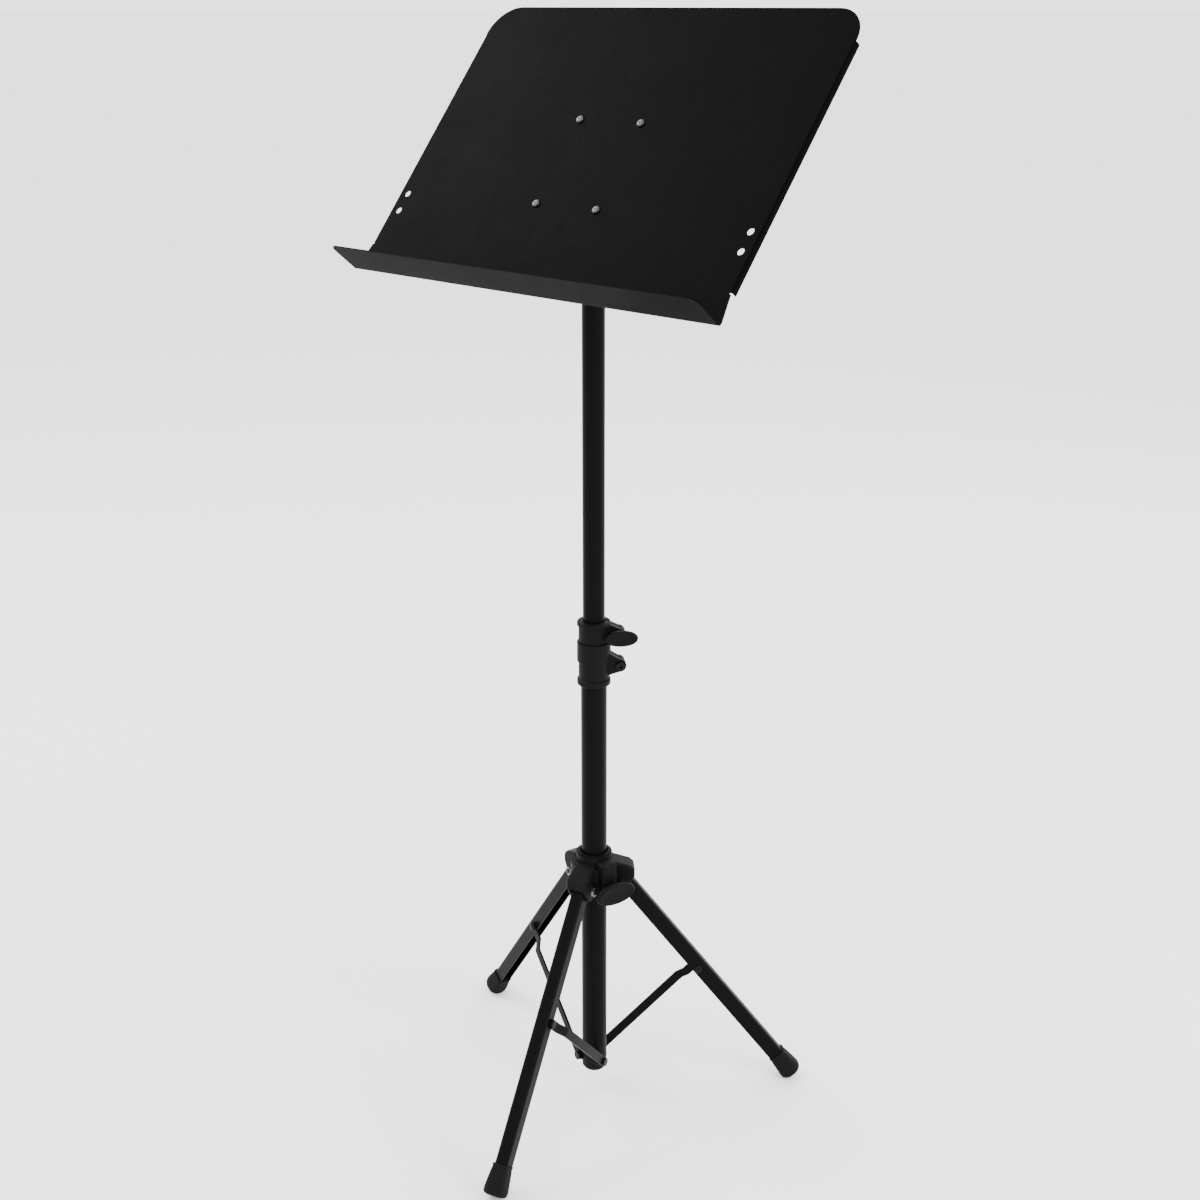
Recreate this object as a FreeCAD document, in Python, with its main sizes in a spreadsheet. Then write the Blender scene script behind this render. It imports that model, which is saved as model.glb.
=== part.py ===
import FreeCAD, Part
import math
import os
import re
import Sketcher

# Orchestra music stand on a folding tripod, in millimetres.
# +Z is up, the origin is on the floor on the mast's axis, and the player stands on the -Y side.
# A direction round the mast is an azimuth, counted from -Y towards +X.

SIZES = [
    # fits
    ("press_gap", 0.02, "radial gap of pieces that are fixed in each other"),
    ("running_gap", 0.06, "radial gap of a pin that turns or a tube that slides"),
    ("joint_gap", 0.3, "side gap between pieces that move past each other"),
    ("link_gap", 1.7, "radial gap at the strut holes of the two legs that follow the front leg"),
    ("link_side_gap", 1.0, "side gap at the struts of the two legs that follow the front leg"),
    # lower tube and its foot
    ("tube_step", 2.5, "step in radius from the upper tube to the lower tube"),
    ("lower_tube_wall", 1.2, "wall"),
    ("lower_tube_bottom", 58.0, "height of the lower end"),
    ("lower_tube_length", 530.0, "length"),
    ("base_bottom", 24.5, "height of the base fitting's underside"),
    ("base_spigot", 25.0, "length of the fitting inside the tube"),
    ("base_cone", 3.5, "height of the fitting's tapered end"),
    ("base_bevel", 2.5, "step in radius of the fitting's tapered end"),
    ("base_pin_radius", 2.5, "radius of a strut pin"),
    ("base_pin_reach", 5.0, "length of a strut pin past the fitting's middle"),
    ("base_pin_place", 9.0, "distance of a strut pin outwards from the mast's axis"),
    ("base_pin_height", 40.0, "height of the strut pins"),
    ("base_lug_radius", 6.5, "radius of the lug round a strut pin"),
    ("base_head_radius", 5.0, "radius of a strut pin's head"),
    ("base_head_height", 2.2, "thickness of a strut pin's head"),
    # upper tube
    ("upper_tube_outer", 25.0, "outer diameter"),
    ("upper_tube_wall", 1.0, "wall"),
    ("upper_tube_length", 602.0, "length"),
    ("glide_height", 30.0, "length of the ring on the tube's lower end"),
    ("glide_lip", 3.0, "thickness of the ring below the tube"),
    # collar
    ("collar_wall", 2.5, "wall of the collar round the lower tube"),
    ("collar_rim", 1.8, "step in radius of the collar's rims"),
    ("collar_rim_height", 6.5, "height of the top and bottom rims"),
    ("collar_rim_round", 2.0, "rounding of the rims"),
    ("collar_lower_height", 52.0, "height of the lower sleeve"),
    ("collar_upper_height", 25.0, "height of the upper clamp"),
    ("collar_band_height", 23.0, "height of the wide band at the top of the lower sleeve"),
    ("collar_seat", 4.0, "thickness of the lower sleeve above the lower tube"),
    ("collar_spigot", 38.0, "length of the clamp's guide inside the lower tube"),
    ("ear_azimuth", 140.0, "direction of both clamp ears round the mast"),
    ("ear_slit", 3.0, "gap between the two halves of an ear"),
    ("ear_width", 17.0, "width across both halves of an ear"),
    ("ear_radius", 7.5, "rounding of an ear's end, about its screw"),
    ("ear_stand", 11.5, "distance of an ear's screw from the collar's plain body"),
    ("upper_ear_height", 8.5, "height of the upper ear's screw above the clamp's underside"),
    ("upper_ear_top", 23.0, "height of the upper ear's root above the clamp's underside"),
    ("lower_ear_height", 23.5, "height of the lower ear's bolt above the sleeve's underside"),
    ("lower_ear_low", 12.0, "height of the underside of the lower ear's root above the sleeve's underside"),
    ("lower_ear_top", 40.0, "height of the lower ear's root above the sleeve's underside"),
    ("clamp_screw_radius", 3.0, "radius of the clamp studs and bolt"),
    ("clamp_nut_radius", 5.6, "radius over the corners of a clamp nut"),
    ("clamp_nut_depth", 3.5, "depth of a clamp nut's pocket"),
    ("clamp_nut_height", 5.0, "thickness of a clamp nut"),
    ("clamp_screw_tail", 4.0, "length of a clamp stud past its nut"),
    ("bolt_head_radius", 5.0, "radius of the collar bolt's head"),
    ("bolt_head_height", 4.0, "height of the collar bolt's head"),
    ("bolt_socket_radius", 2.5, "radius over the corners of the bolt's hexagon socket"),
    ("bolt_socket_depth", 2.2, "depth of the bolt's hexagon socket"),
    # oval knobs
    ("small_knob_half_length", 19.0, "half length of the collar's and the desk's knobs"),
    ("small_knob_half_width", 9.3, "half width of the collar's and the desk's knobs"),
    ("small_knob_tip", 7.0, "radius of the small knobs' tips"),
    ("hub_knob_half_length", 26.0, "half length of the hub's knob"),
    ("hub_knob_half_width", 13.0, "half width of the hub's knob"),
    ("hub_knob_tip", 9.5, "radius of the hub knob's tips"),
    ("knob_thickness", 7.5, "thickness of a knob's wing"),
    ("knob_round", 2.4, "rounding of a knob's wing"),
    ("knob_neck_radius", 6.0, "radius of a knob's neck"),
    ("knob_neck", 7.0, "length of a knob's neck"),
    ("knob_grip", 8.0, "length of the stud inside a knob"),
    # tripod linkage
    ("front_azimuth", 16.0, "direction of the front leg"),
    ("leg_end_gap", 0.5, "gap between a leg's top end and the hub's middle"),
    ("hub_pin_height", 288.0, "height of the legs' top pins"),
    ("hub_pin_radius", 3.0, "radius of a leg's top pin"),
    ("leg_angle", 37.16, "angle between a leg and the mast in degrees"),
    ("leg_link", 158.1, "distance between a leg's top pin and its strut rivet"),
    # legs
    ("leg_width", 16.0, "width across a leg's two sides"),
    ("leg_depth", 18.0, "depth of a leg's sides"),
    ("leg_wall", 1.2, "thickness of a leg's sheet"),
    ("leg_corner", 4.5, "outer radius of a leg's two bends"),
    ("leg_offset", 3.4, "distance of a leg's middle line outwards from its pins"),
    ("leg_top", 8.0, "length of a leg above its top pin"),
    # feet
    ("foot_radius", 14.2, "half width of a foot's sole"),
    ("foot_sole_round", 13.4, "corner radius of a foot's sole"),
    ("foot_wall", 1.9, "wall of a foot round the leg"),
    ("foot_top_round", 5.0, "corner radius of a foot's top"),
    ("foot_length", 35.0, "length of a foot"),
    ("foot_sole", 7.0, "rubber below the leg's end"),
    ("foot_flat", 2.4, "depth of the flat that the sole stands on"),
    # struts
    ("strut_width", 11.0, "width of a strut"),
    ("strut_thickness", 2.5, "thickness of a strut"),
    ("strut_mast_gap", 0.75, "gap between a strut and the mast at the base"),
    ("strut_flush", 18.0, "length of a strut that lies against its leg"),
    ("strut_crank", 12.0, "length of a strut's crank"),
    ("strut_round", 5.2, "rounding of a strut's ends"),
    ("rivet_radius", 2.0, "radius of a leg's strut rivet"),
    ("rivet_head_radius", 4.9, "radius of a rivet's head"),
    ("rivet_head_height", 1.5, "height of a rivet's head"),
    ("head_taper", 0.7, "radius of a rivet's or leg pin's head at its face, as a share of its full radius"),
    # hub
    ("hub_gap", 1.3, "radial gap between the hub's bushing and the lower tube"),
    ("bushing_wall", 1.8, "wall of the bushing"),
    ("bushing_flange", 1.4, "thickness of the bushing's top flange"),
    ("hub_boss_wall", 3.1, "wall of the hub's middle"),
    ("hub_drop", 11.0, "depth of the hub below the legs' top pins"),
    ("hub_rise", 37.0, "height of the hub's middle above the pins"),
    ("shoulder_rise", 28.0, "height of the hub's shoulder above the pins"),
    ("brow_rise", 21.0, "height of a lobe's outer top edge above the pins"),
    ("hood_rise", 6.5, "height of the underside of a lobe's outer wall above the pins"),
    ("roof_rise", 17.0, "height of the inside of a lobe's roof above the pins"),
    ("hood_gap", 1.4, "gap between a leg and the outer wall of its lobe"),
    ("toe_stand", 7.0, "distance from a leg's top pin out to the end of its lobe's underside"),
    ("hub_cheek", 4.6, "wall of a lobe beside its leg"),
    ("hub_wall", 3.2, "outer wall of a lobe"),
    ("hub_round", 3.0, "rounding of a lobe"),
    ("leg_side_gap", 0.4, "side gap between a leg and the lobe or strut beside it"),
    ("boss_stand", 13.8, "distance of the locking boss's face from the hub's middle"),
    ("boss_width", 20.0, "width of the locking boss"),
    ("boss_drop", 10.0, "depth of the locking boss below the legs' top pins"),
    ("boss_rise", 33.0, "height of the locking boss above the pins"),
    ("lock_radius", 4.0, "radius of the locking stud"),
    ("lock_tip_gap", 1.2, "gap between the locking stud and the lower tube"),
    ("insert_radius", 6.2, "radius of the threaded insert"),
    ("insert_length", 10.0, "length of the threaded insert"),
    ("body_drop", 7.0, "depth of the hub's body between the lobes below the pins"),
    ("body_rise", 25.0, "height of the hub's body between the lobes above the pins"),
    ("lobe_bevel", 5.0, "bevel of a lobe's outer top edge"),
    ("lock_azimuth", 76.0, "direction of the locking knob"),
    ("pin_head_radius", 5.2, "radius of a leg pin's head"),
    ("pin_head_height", 2.6, "height of a leg pin's head"),
    ("pin_nut_radius", 5.8, "radius over the corners of a leg pin's nut"),
    ("pin_nut_height", 4.2, "height of a leg pin's nut"),
    ("pin_tail", 0.8, "length of a leg pin past its nut"),
    # desk
    ("desk_lean", 39.6, "angle between the desk and the vertical in degrees"),
    ("desk_width", 510.0, "width over the side flanges"),
    ("desk_height", 355.0, "height of the plate above the ledge"),
    ("desk_sheet", 1.2, "thickness of the sheet"),
    ("desk_bend", 2.4, "inner radius of the sheet's bends"),
    ("desk_corner", 36.0, "radius of the two top corners"),
    ("corner_step", 1.6, "step from a side flange in to the flat top corner"),
    ("flange_depth", 6.5, "depth of the side flanges"),
    ("flange_start", 36.0, "height above the ledge where the side flanges start"),
    ("flange_gap", 2.0, "distance between a side flange's end and the round corner above it"),
    ("ledge_overhang", 7.0, "how much wider the ledge is than the desk"),
    ("ledge_depth", 45.6, "depth of the ledge"),
    ("ledge_corner", 10.0, "radius of the ledge's two front corners"),
    ("ledge_flare", 5.0, "height above the ledge up to which the plate is as wide as the ledge"),
    ("bracket_screw_height", 158.5, "height of the middle of the four screws above the ledge"),
    ("bracket_screws_across", 85.0, "spacing of the screws across"),
    ("bracket_screws_up", 105.0, "spacing of the screws up the plate"),
    ("bracket_screw_radius", 2.5, "radius of a bracket screw"),
    ("desk_screw_head", 4.6, "radius of a bracket screw's head"),
    ("desk_screw_head_height", 2.4, "height of a bracket screw's head"),
    ("desk_screw_rim", 1.0, "thickness of the rim of a bracket screw's head"),
    ("desk_screw_top", 3.2, "radius of the top of a bracket screw's head"),
    ("cross_width", 1.0, "width of a slot of the cross recess"),
    ("cross_length", 4.6, "length of a slot of the cross recess"),
    ("cross_depth", 1.3, "depth of the cross recess"),
    ("desk_screw_tail", 1.5, "length of a bracket screw past its nut"),
    ("desk_nut_radius", 4.6, "radius over the corners of a bracket nut"),
    ("desk_nut_height", 4.0, "height of a bracket nut"),
    ("side_hole_radius", 4.0, "radius of the accessory holes near the sides"),
    ("side_hole_inset", 13.8, "distance of the accessory holes from the plate's sides"),
    ("side_hole_low", 79.3, "height of the lower accessory holes above the ledge"),
    ("side_hole_pitch", 22.0, "spacing of the two accessory holes"),
    # tilt joint
    ("tilt_height", 1072.0, "height of the tilt bolt"),
    ("tilt_behind", 36.0, "distance of the tilt bolt behind the plate's front face"),
    ("tilt_above", 127.3, "height of the tilt bolt above the ledge, along the plate"),
    ("tilt_bolt_radius", 4.0, "radius of the tilt bolt"),
    ("tilt_head_radius", 14.0, "radius of the tilt head's barrel"),
    ("tilt_head_width", 36.0, "width of the tilt head"),
    ("tilt_socket_wall", 3.5, "wall of the tilt head's socket"),
    ("tilt_neck_radius", 8.4, "radius of the top of the tilt head's neck"),
    ("tilt_socket_length", 56.0, "length of the tilt head below the bolt"),
    ("tilt_tube_drop", 20.0, "distance of the upper tube's end below the bolt"),
    ("tilt_washer_radius", 12.0, "radius of a friction washer"),
    ("tilt_washer", 1.7, "thickness of a friction washer"),
    ("head_pin_radius", 2.0, "radius of the spring pin through the tilt head's socket"),
    ("head_pin_drop", 40.0, "distance of the spring pin below the tilt bolt"),
    ("cheek_sheet", 2.0, "thickness of a bracket cheek"),
    ("cheek_bend", 2.0, "inner radius of a bracket cheek's bend"),
    ("cheek_foot", 34.0, "width of a bracket cheek's foot"),
    ("cheek_margin", 12.0, "height of a bracket cheek's foot past its screws"),
    ("cheek_depth", 11.0, "depth of a bracket cheek above and below its ear"),
    ("cheek_end", 11.0, "rounding of a bracket cheek's ear about the bolt"),
    ("cheek_flare", 42.0, "half height of a bracket cheek's ear at its root"),
    ("tilt_bolt_head", 7.4, "radius over the corners of the tilt bolt's head"),
    ("tilt_bolt_head_height", 5.3, "height of the tilt bolt's head"),
]

# sizes that follow from others
FOLLOWING = {
    "lower_tube_outer": "(upper_tube_outer + 2 * tube_step)",
    "base_tip_radius": "(lower_tube_outer / 2 - base_bevel)",
    "collar_radius": "(lower_tube_outer / 2 + collar_wall)",
    "collar_rim_radius": "(collar_radius + collar_rim)",
    "ear_root": "(lower_tube_outer / 2)",
    "ear_reach": "(collar_radius + ear_stand)",
    "strut_side": "(lower_tube_outer / 2 + strut_mast_gap + strut_thickness / 2)",
    "bushing_bore": "(lower_tube_outer / 2 + hub_gap)",
    "bushing_outer": "(bushing_bore + bushing_wall)",
    "hub_boss_radius": "(bushing_outer + hub_boss_wall)",
    "leg_inner_edge": "(leg_depth / 2 - leg_offset)",
    "leg_top_reach": "(leg_inner_edge * cos(leg_angle * 1 deg) + leg_top * sin(leg_angle * 1 deg))",
    "hub_pin_place": "(hub_boss_radius + leg_top_reach + leg_end_gap)",
    "hub_reach": "(hub_pin_place + leg_offset + leg_depth / 2 + hood_gap + hub_wall)",
    "hub_toe": "(hub_pin_place + toe_stand)",
    "lobe_half_width": "(leg_width / 2 + leg_side_gap + hub_cheek)",
    "nut_inner_edge": "(hub_pin_place - pin_nut_radius)",
    "nut_corner": "sqrt(nut_inner_edge * nut_inner_edge + lobe_half_width * lobe_half_width)",
    "hub_body_radius": "(nut_corner - joint_gap)",
    "hub_bottom": "(hub_pin_height - hub_drop)",
    "hub_top": "(hub_pin_height + hub_rise)",
    "hub_shoulder": "(hub_pin_height + shoulder_rise)",
    "hub_brow": "(hub_pin_height + brow_rise)",
    "hub_hood": "(hub_pin_height + hood_rise)",
    "hub_roof": "(hub_pin_height + roof_rise)",
    "hub_body_low": "(hub_pin_height - body_drop)",
    "hub_body_high": "(hub_pin_height + body_rise)",
    "boss_low": "(hub_pin_height - boss_drop)",
    "boss_high": "(hub_pin_height + boss_rise)",
    "boss_reach": "(hub_boss_radius + boss_stand)",
    "ledge_width": "(desk_width + ledge_overhang)",
    "tilt_socket_radius": "(upper_tube_outer / 2 + tilt_socket_wall)",
}

SAME_PLACE = 0.01
SIDES = {"front": 0, "right": 1, "left": 2}
ORIGIN = FreeCAD.Vector(0, 0, 0)
X_AXIS = FreeCAD.Vector(1, 0, 0)
Y_AXIS = FreeCAD.Vector(0, 1, 0)
Z_AXIS = FreeCAD.Vector(0, 0, 1)
ALONG_X = FreeCAD.Rotation(Y_AXIS, 90)
OUTWARDS = FreeCAD.Rotation(X_AXIS, 90)
BACKWARDS = FreeCAD.Rotation(X_AXIS, -90)
UPRIGHT = FreeCAD.Rotation()

doc = FreeCAD.newDocument("MusicStand")
sheet = doc.addObject("Spreadsheet::Sheet", "Sizes")
nodes = {}


# ---------------------------------------------------------------- sheet and expressions

def fill_sheet():
    for row, (alias, value, meaning) in enumerate(SIZES, start=1):
        sheet.set(f"A{row}", meaning)
        sheet.set(f"B{row}", str(value))
        sheet.setAlias(f"B{row}", alias)
    doc.recompute()


def bound(text):
    """The expression with the following sizes written out and each name of the sheet as Sizes.name."""
    names = {alias for alias, value, meaning in SIZES}
    while any(word in FOLLOWING for word in re.findall(r"[a-z_]+", text)):
        text = re.sub(r"[a-z_]+", lambda word: FOLLOWING.get(word[0], word[0]), text)
    return re.sub(r"[a-z_]+", lambda word: "Sizes." + word[0] if word[0] in names else word[0], text)


def number(text):
    """The value of an expression of sheet names."""
    return float(sheet.evalExpression(bound(text).replace("Sizes.", "")))


# ---------------------------------------------------------------- primitives

def put(item, x="0", y="0", z="0", turn=UPRIGHT):
    """Places a primitive at expressions of sheet names."""
    item.Placement = FreeCAD.Placement(ORIGIN, turn)
    for key, text in (("x", x), ("y", y), ("z", z)):
        if text != "0":
            item.setExpression("Placement.Base." + key, bound(text))
    return item


def bind(item, **expressions):
    for prop, text in expressions.items():
        item.setExpression(prop, bound(text))
    return item


def cylinder(name, radius, height, x="0", y="0", z="0", turn=UPRIGHT):
    item = bind(doc.addObject("Part::Cylinder", name), Radius=radius, Height=height)
    return put(item, x, y, z, turn)


def cone(name, low_radius, high_radius, height, x="0", y="0", z="0", turn=UPRIGHT):
    item = bind(doc.addObject("Part::Cone", name), Radius1=low_radius, Radius2=high_radius, Height=height)
    return put(item, x, y, z, turn)


def hexagon(name, radius, height, x="0", y="0", z="0", turn=UPRIGHT):
    item = doc.addObject("Part::Prism", name)
    item.Polygon = 6
    bind(item, Circumradius=radius, Height=height)
    return put(item, x, y, z, turn)


def fuse(name, *pieces):
    item = doc.addObject("Part::MultiFuse", name)
    item.Shapes = list(pieces)
    item.Refine = True
    return item


def cut(name, base, tool):
    item = doc.addObject("Part::Cut", name)
    item.Base = base
    item.Tool = tool
    return item


def ring(name, outer, inner, height, x="0", y="0", z="0", turn=UPRIGHT):
    """A tube or washer: a cylinder less its bore."""
    wall = cylinder(name + "_wall", outer, height, x, y, z, turn)
    bore = cylinder(name + "_bore", inner, height, x, y, z, turn)
    return cut(name, wall, bore)


def group(name, pieces):
    """Like pieces in one node, each its own solid."""
    item = doc.addObject("Part::Compound", name)
    item.Links = list(pieces)
    return item


def keep(node, item, place=None):
    """Makes the object a node of the stand, at its place."""
    item.Label = node
    if place is not None:
        item.Placement = place
    nodes[node] = item
    return item


# ---------------------------------------------------------------- bodies and sketches

def new_body(name):
    return doc.addObject("PartDesign::Body", name)


def sketch_on(body, name, role, lift="0"):
    """A sketch on one of the body's origin planes, lifted along the plane's normal."""
    sketch = body.newObject("Sketcher::SketchObject", name)
    plane = next(item for item in body.Origin.OriginFeatures if item.Role == role)
    sketch.AttachmentSupport = [(plane, "")]
    sketch.MapMode = "FlatFace"
    sketch.setExpression("AttachmentOffset.Base.z", bound(lift))
    return sketch


def fix_point(sketch, geometry, place, x, y):
    """Holds a point of the sketch at two expressions from the sketch's origin."""
    for kind, text in (("DistanceX", x), ("DistanceY", y)):
        index = sketch.addConstraint(
            Sketcher.Constraint(kind, -1, 1, geometry, place, number(text)))
        sketch.setExpression(f"Constraints[{index}]", bound(text))


def fix_radius(sketch, geometry, text):
    index = sketch.addConstraint(Sketcher.Constraint("Radius", geometry, number(text)))
    sketch.setExpression(f"Constraints[{index}]", bound(text))


def circle(sketch, x, y, radius):
    centre = FreeCAD.Vector(number(x), number(y), 0)
    index = sketch.addGeometry(Part.Circle(centre, Z_AXIS, number(radius)))
    fix_point(sketch, index, 3, x, y)
    fix_radius(sketch, index, radius)


def arc_between(start, end, radius, side):
    """The arc from start to end whose centre is on the left (+1) or the right (-1)."""
    half = (end - start) * 0.5
    across = FreeCAD.Vector(-half.y, half.x, 0).normalize()
    rise = math.sqrt(max(radius ** 2 - half.Length ** 2, 0.0))
    centre = start + half + across * (rise * side)
    first, last = (start, end) if side > 0 else (end, start)
    angles = [math.atan2(point.y - centre.y, point.x - centre.x) for point in (first, last)]
    if angles[1] < angles[0]:
        angles[1] += 2 * math.pi
    return Part.ArcOfCircle(Part.Circle(centre, Z_AXIS, radius), *angles)


def outline(sketch, path):
    """A closed outline. Each entry is the x and y of a corner, and for an arc that
    ends there also its radius and the side its centre is on."""
    corners = [FreeCAD.Vector(number(entry[0]), number(entry[1]), 0) for entry in path]
    ends = []
    for index, entry in enumerate(path):
        start = corners[index - 1]
        end = corners[index]
        if len(entry) == 2:
            geometry = sketch.addGeometry(Part.LineSegment(start, end))
            ends.append((geometry, 1, 2))
            continue
        geometry = sketch.addGeometry(arc_between(start, end, number(entry[2]), entry[3]))
        ends.append((geometry, 1, 2) if entry[3] > 0 else (geometry, 2, 1))
        fix_radius(sketch, geometry, entry[2])
    for index, entry in enumerate(path):
        geometry, first, last = ends[index]
        following = ends[(index + 1) % len(path)]
        sketch.addConstraint(Sketcher.Constraint("Coincident", geometry, last, following[0], following[1]))
        fix_point(sketch, geometry, last, entry[0], entry[1])


def rectangle(sketch, x_low, x_high, y_low, y_high):
    outline(sketch, [(x_low, y_low), (x_high, y_low), (x_high, y_high), (x_low, y_high)])


def rounded_rectangle(sketch, half_x, half_y, radius, y_middle="0"):
    """A rectangle with four round corners, as four lines and four arcs."""
    low = f"{y_middle} - {half_y}"
    high = f"{y_middle} + {half_y}"
    outline(sketch, [
        (f"{half_x} - {radius}", low),
        (half_x, f"{low} + {radius}", radius, 1),
        (half_x, f"{high} - {radius}"),
        (f"{half_x} - {radius}", high, radius, 1),
        (f"-{half_x} + {radius}", high),
        (f"-{half_x}", f"{high} - {radius}", radius, 1),
        (f"-{half_x}", f"{low} + {radius}"),
        (f"-{half_x} + {radius}", low, radius, 1),
    ])


def oval(sketch, half_long, half_short, tip):
    """An oval of two tip arcs and two long side arcs that meet in tangent."""
    run = f"({half_long} - {tip})"
    rise = f"({half_short} - {tip})"
    drop = f"(({run} * {run} - {rise} * {rise}) / (2 * {rise}))"
    side = f"({drop} + {half_short})"
    x = f"{side} * {run} / ({drop} + {rise})"
    y = f"({side} * {drop} / ({drop} + {rise}) - {drop})"
    outline(sketch, [
        (x, f"-{y}", side, 1),
        (x, y, tip, 1),
        (f"-{x}", y, side, 1),
        (f"-{x}", f"-{y}", tip, 1),
    ])


def pad(body, name, sketch, length, both_ways=False, reverse=False):
    feature = body.newObject("PartDesign::Pad", name)
    feature.Profile = sketch
    feature.setExpression("Length", bound(length))
    feature.Midplane = both_ways
    feature.Reversed = reverse
    return feature


def pocket(body, name, sketch, length, both_ways=False, reverse=False):
    """Cuts a sketch out of the body, and stops if nothing was cut."""
    doc.recompute()
    before = body.Shape.Volume
    feature = body.newObject("PartDesign::Pocket", name)
    feature.Profile = sketch
    feature.setExpression("Length", bound(length))
    feature.Midplane = both_ways
    feature.Reversed = reverse
    doc.recompute()
    if body.Shape.Volume > before - 0.1:
        raise RuntimeError(name + " cuts nothing")
    return feature


def revolve(body, name, sketch):
    feature = body.newObject("PartDesign::Revolution", name)
    feature.Profile = sketch
    feature.ReferenceAxis = (sketch, ["V_Axis"])
    feature.Angle = 360
    return feature


def fillet(body, name, base, radius, chosen):
    """Rounds the edges of the base feature that the test picks."""
    doc.recompute()
    edges = [f"Edge{number}" for number, edge in enumerate(base.Shape.Edges, start=1) if chosen(edge)]
    feature = body.newObject("PartDesign::Fillet", name)
    feature.Base = (base, edges)
    feature.setExpression("Radius", bound(radius))
    return feature


def runs_along(edge, axis):
    """True for a straight edge parallel to the axis."""
    if not isinstance(edge.Curve, (Part.Line, Part.LineSegment)):
        return False
    return abs(edge.tangentAt(edge.FirstParameter).dot(axis)) > 0.999


# ---------------------------------------------------------------- places

def round_mast(azimuth):
    """Turns local -Y to the azimuth, about the mast."""
    return FreeCAD.Placement(ORIGIN, FreeCAD.Rotation(Z_AXIS, azimuth))


def side_azimuth(side):
    return number("front_azimuth") + 120 * SIDES[side]


def shift(x, y, z, turn=UPRIGHT):
    return FreeCAD.Placement(FreeCAD.Vector(number(x), number(y), number(z)), turn)


def leg_place(side):
    """A leg's own frame: origin at its top pin, the leg along -Z and outwards -Y."""
    lean = FreeCAD.Rotation(X_AXIS, -number("leg_angle"))
    return round_mast(side_azimuth(side)) * shift("0", "-hub_pin_place", "hub_pin_height", lean)


def strut_run():
    """How far out and up a strut's rivet is from its base pin, as expressions."""
    out = "(hub_pin_place + leg_link * sin(leg_angle * 1 deg) - base_pin_place)"
    up = "(hub_pin_height - leg_link * cos(leg_angle * 1 deg) - base_pin_height)"
    return out, up


def strut_length():
    out, up = strut_run()
    return f"sqrt({out} * {out} + {up} * {up})"


def strut_side_gap(side):
    return "leg_side_gap" if side == "front" else "link_side_gap"


def strut_middle(side):
    """Side offset of a strut's middle from its leg's middle, where they lie together."""
    return f"(leg_width / 2 + {strut_side_gap(side)} + strut_thickness / 2)"


def strut_place(side):
    """A strut's own frame: origin at its base pin and the strut along +Z."""
    out, up = strut_run()
    lean = FreeCAD.Rotation(X_AXIS, math.degrees(math.atan2(number(out), number(up))))
    return round_mast(side_azimuth(side)) * shift("0", "-base_pin_place", "base_pin_height", lean)


def desk_place():
    """The desk's own frame: X across, Y backwards, Z up the plate from the ledge."""
    lean = FreeCAD.Rotation(X_AXIS, -number("desk_lean"))
    return shift("0", "0", "tilt_height", lean) * shift("0", "-tilt_behind", "-tilt_above")


def lower_tube_top():
    return "(lower_tube_bottom + lower_tube_length)"


def collar_split():
    """Height of the joint between the collar's two halves."""
    return f"({lower_tube_top()} + collar_seat)"


# ---------------------------------------------------------------- mast

def make_lower_tube():
    inner = "lower_tube_outer / 2 - lower_tube_wall"
    keep("lower_tube", ring("LowerTube", "lower_tube_outer / 2", inner, "lower_tube_length",
                            z="lower_tube_bottom"))


def make_base_fitting():
    side = "lower_tube_outer / 2"
    body = cylinder("BaseBody", side, "lower_tube_bottom - base_bottom - base_cone",
                    z="base_bottom + base_cone")
    tip = cone("BaseTip", "base_tip_radius", side, "base_cone", z="base_bottom")
    spigot = cylinder("BaseSpigot", f"{side} - lower_tube_wall - press_gap", "base_spigot",
                      z="lower_tube_bottom")
    lug_face = "strut_side - strut_thickness / 2 - joint_gap"
    lugs = []
    bores = []
    for side_name in SIDES:
        turned = round_mast(side_azimuth(side_name))
        lug = cylinder(f"BaseLug_{side_name}", "base_lug_radius", lug_face)
        lug.Placement = turned * shift("0", "-base_pin_place", "base_pin_height", ALONG_X)
        lugs.append(lug)
        bore = cylinder(f"BaseBore_{side_name}", "base_pin_radius + press_gap", f"{lug_face} + base_pin_reach")
        bore.Placement = turned * shift("-base_pin_reach", "-base_pin_place", "base_pin_height", ALONG_X)
        bores.append(bore)
    solid = fuse("BaseSolid", body, tip, spigot, *lugs)
    keep("base_fitting", cut("BaseFitting", solid, fuse("BaseBores", *bores)))


def make_base_pins():
    outer_face = "strut_side + strut_thickness / 2 + joint_gap"
    pins = []
    for side in SIDES:
        shank = cylinder(f"BasePinShank_{side}", "base_pin_radius", f"{outer_face} + base_pin_reach",
                         x="-base_pin_reach", turn=ALONG_X)
        head = cylinder(f"BasePinHead_{side}", "base_head_radius", "base_head_height",
                        x=outer_face, turn=ALONG_X)
        pin = fuse(f"BasePin_{side}", shank, head)
        pin.Placement = round_mast(side_azimuth(side)) * shift("0", "-base_pin_place", "base_pin_height")
        pins.append(pin)
    keep("base_pins", group("BasePins", pins))


def upper_tube_bottom():
    return "(tilt_height - tilt_tube_drop - upper_tube_length)"


def make_upper_tube():
    tube = ring("UpperTubeRing", "upper_tube_outer / 2", "upper_tube_outer / 2 - upper_tube_wall",
                "upper_tube_length", z=upper_tube_bottom())
    hole = cylinder("UpperTubeHole", "head_pin_radius + press_gap", "2 * upper_tube_outer",
                    y="upper_tube_outer", z="tilt_height - head_pin_drop", turn=OUTWARDS)
    keep("upper_tube", cut("UpperTube", tube, hole))


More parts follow.
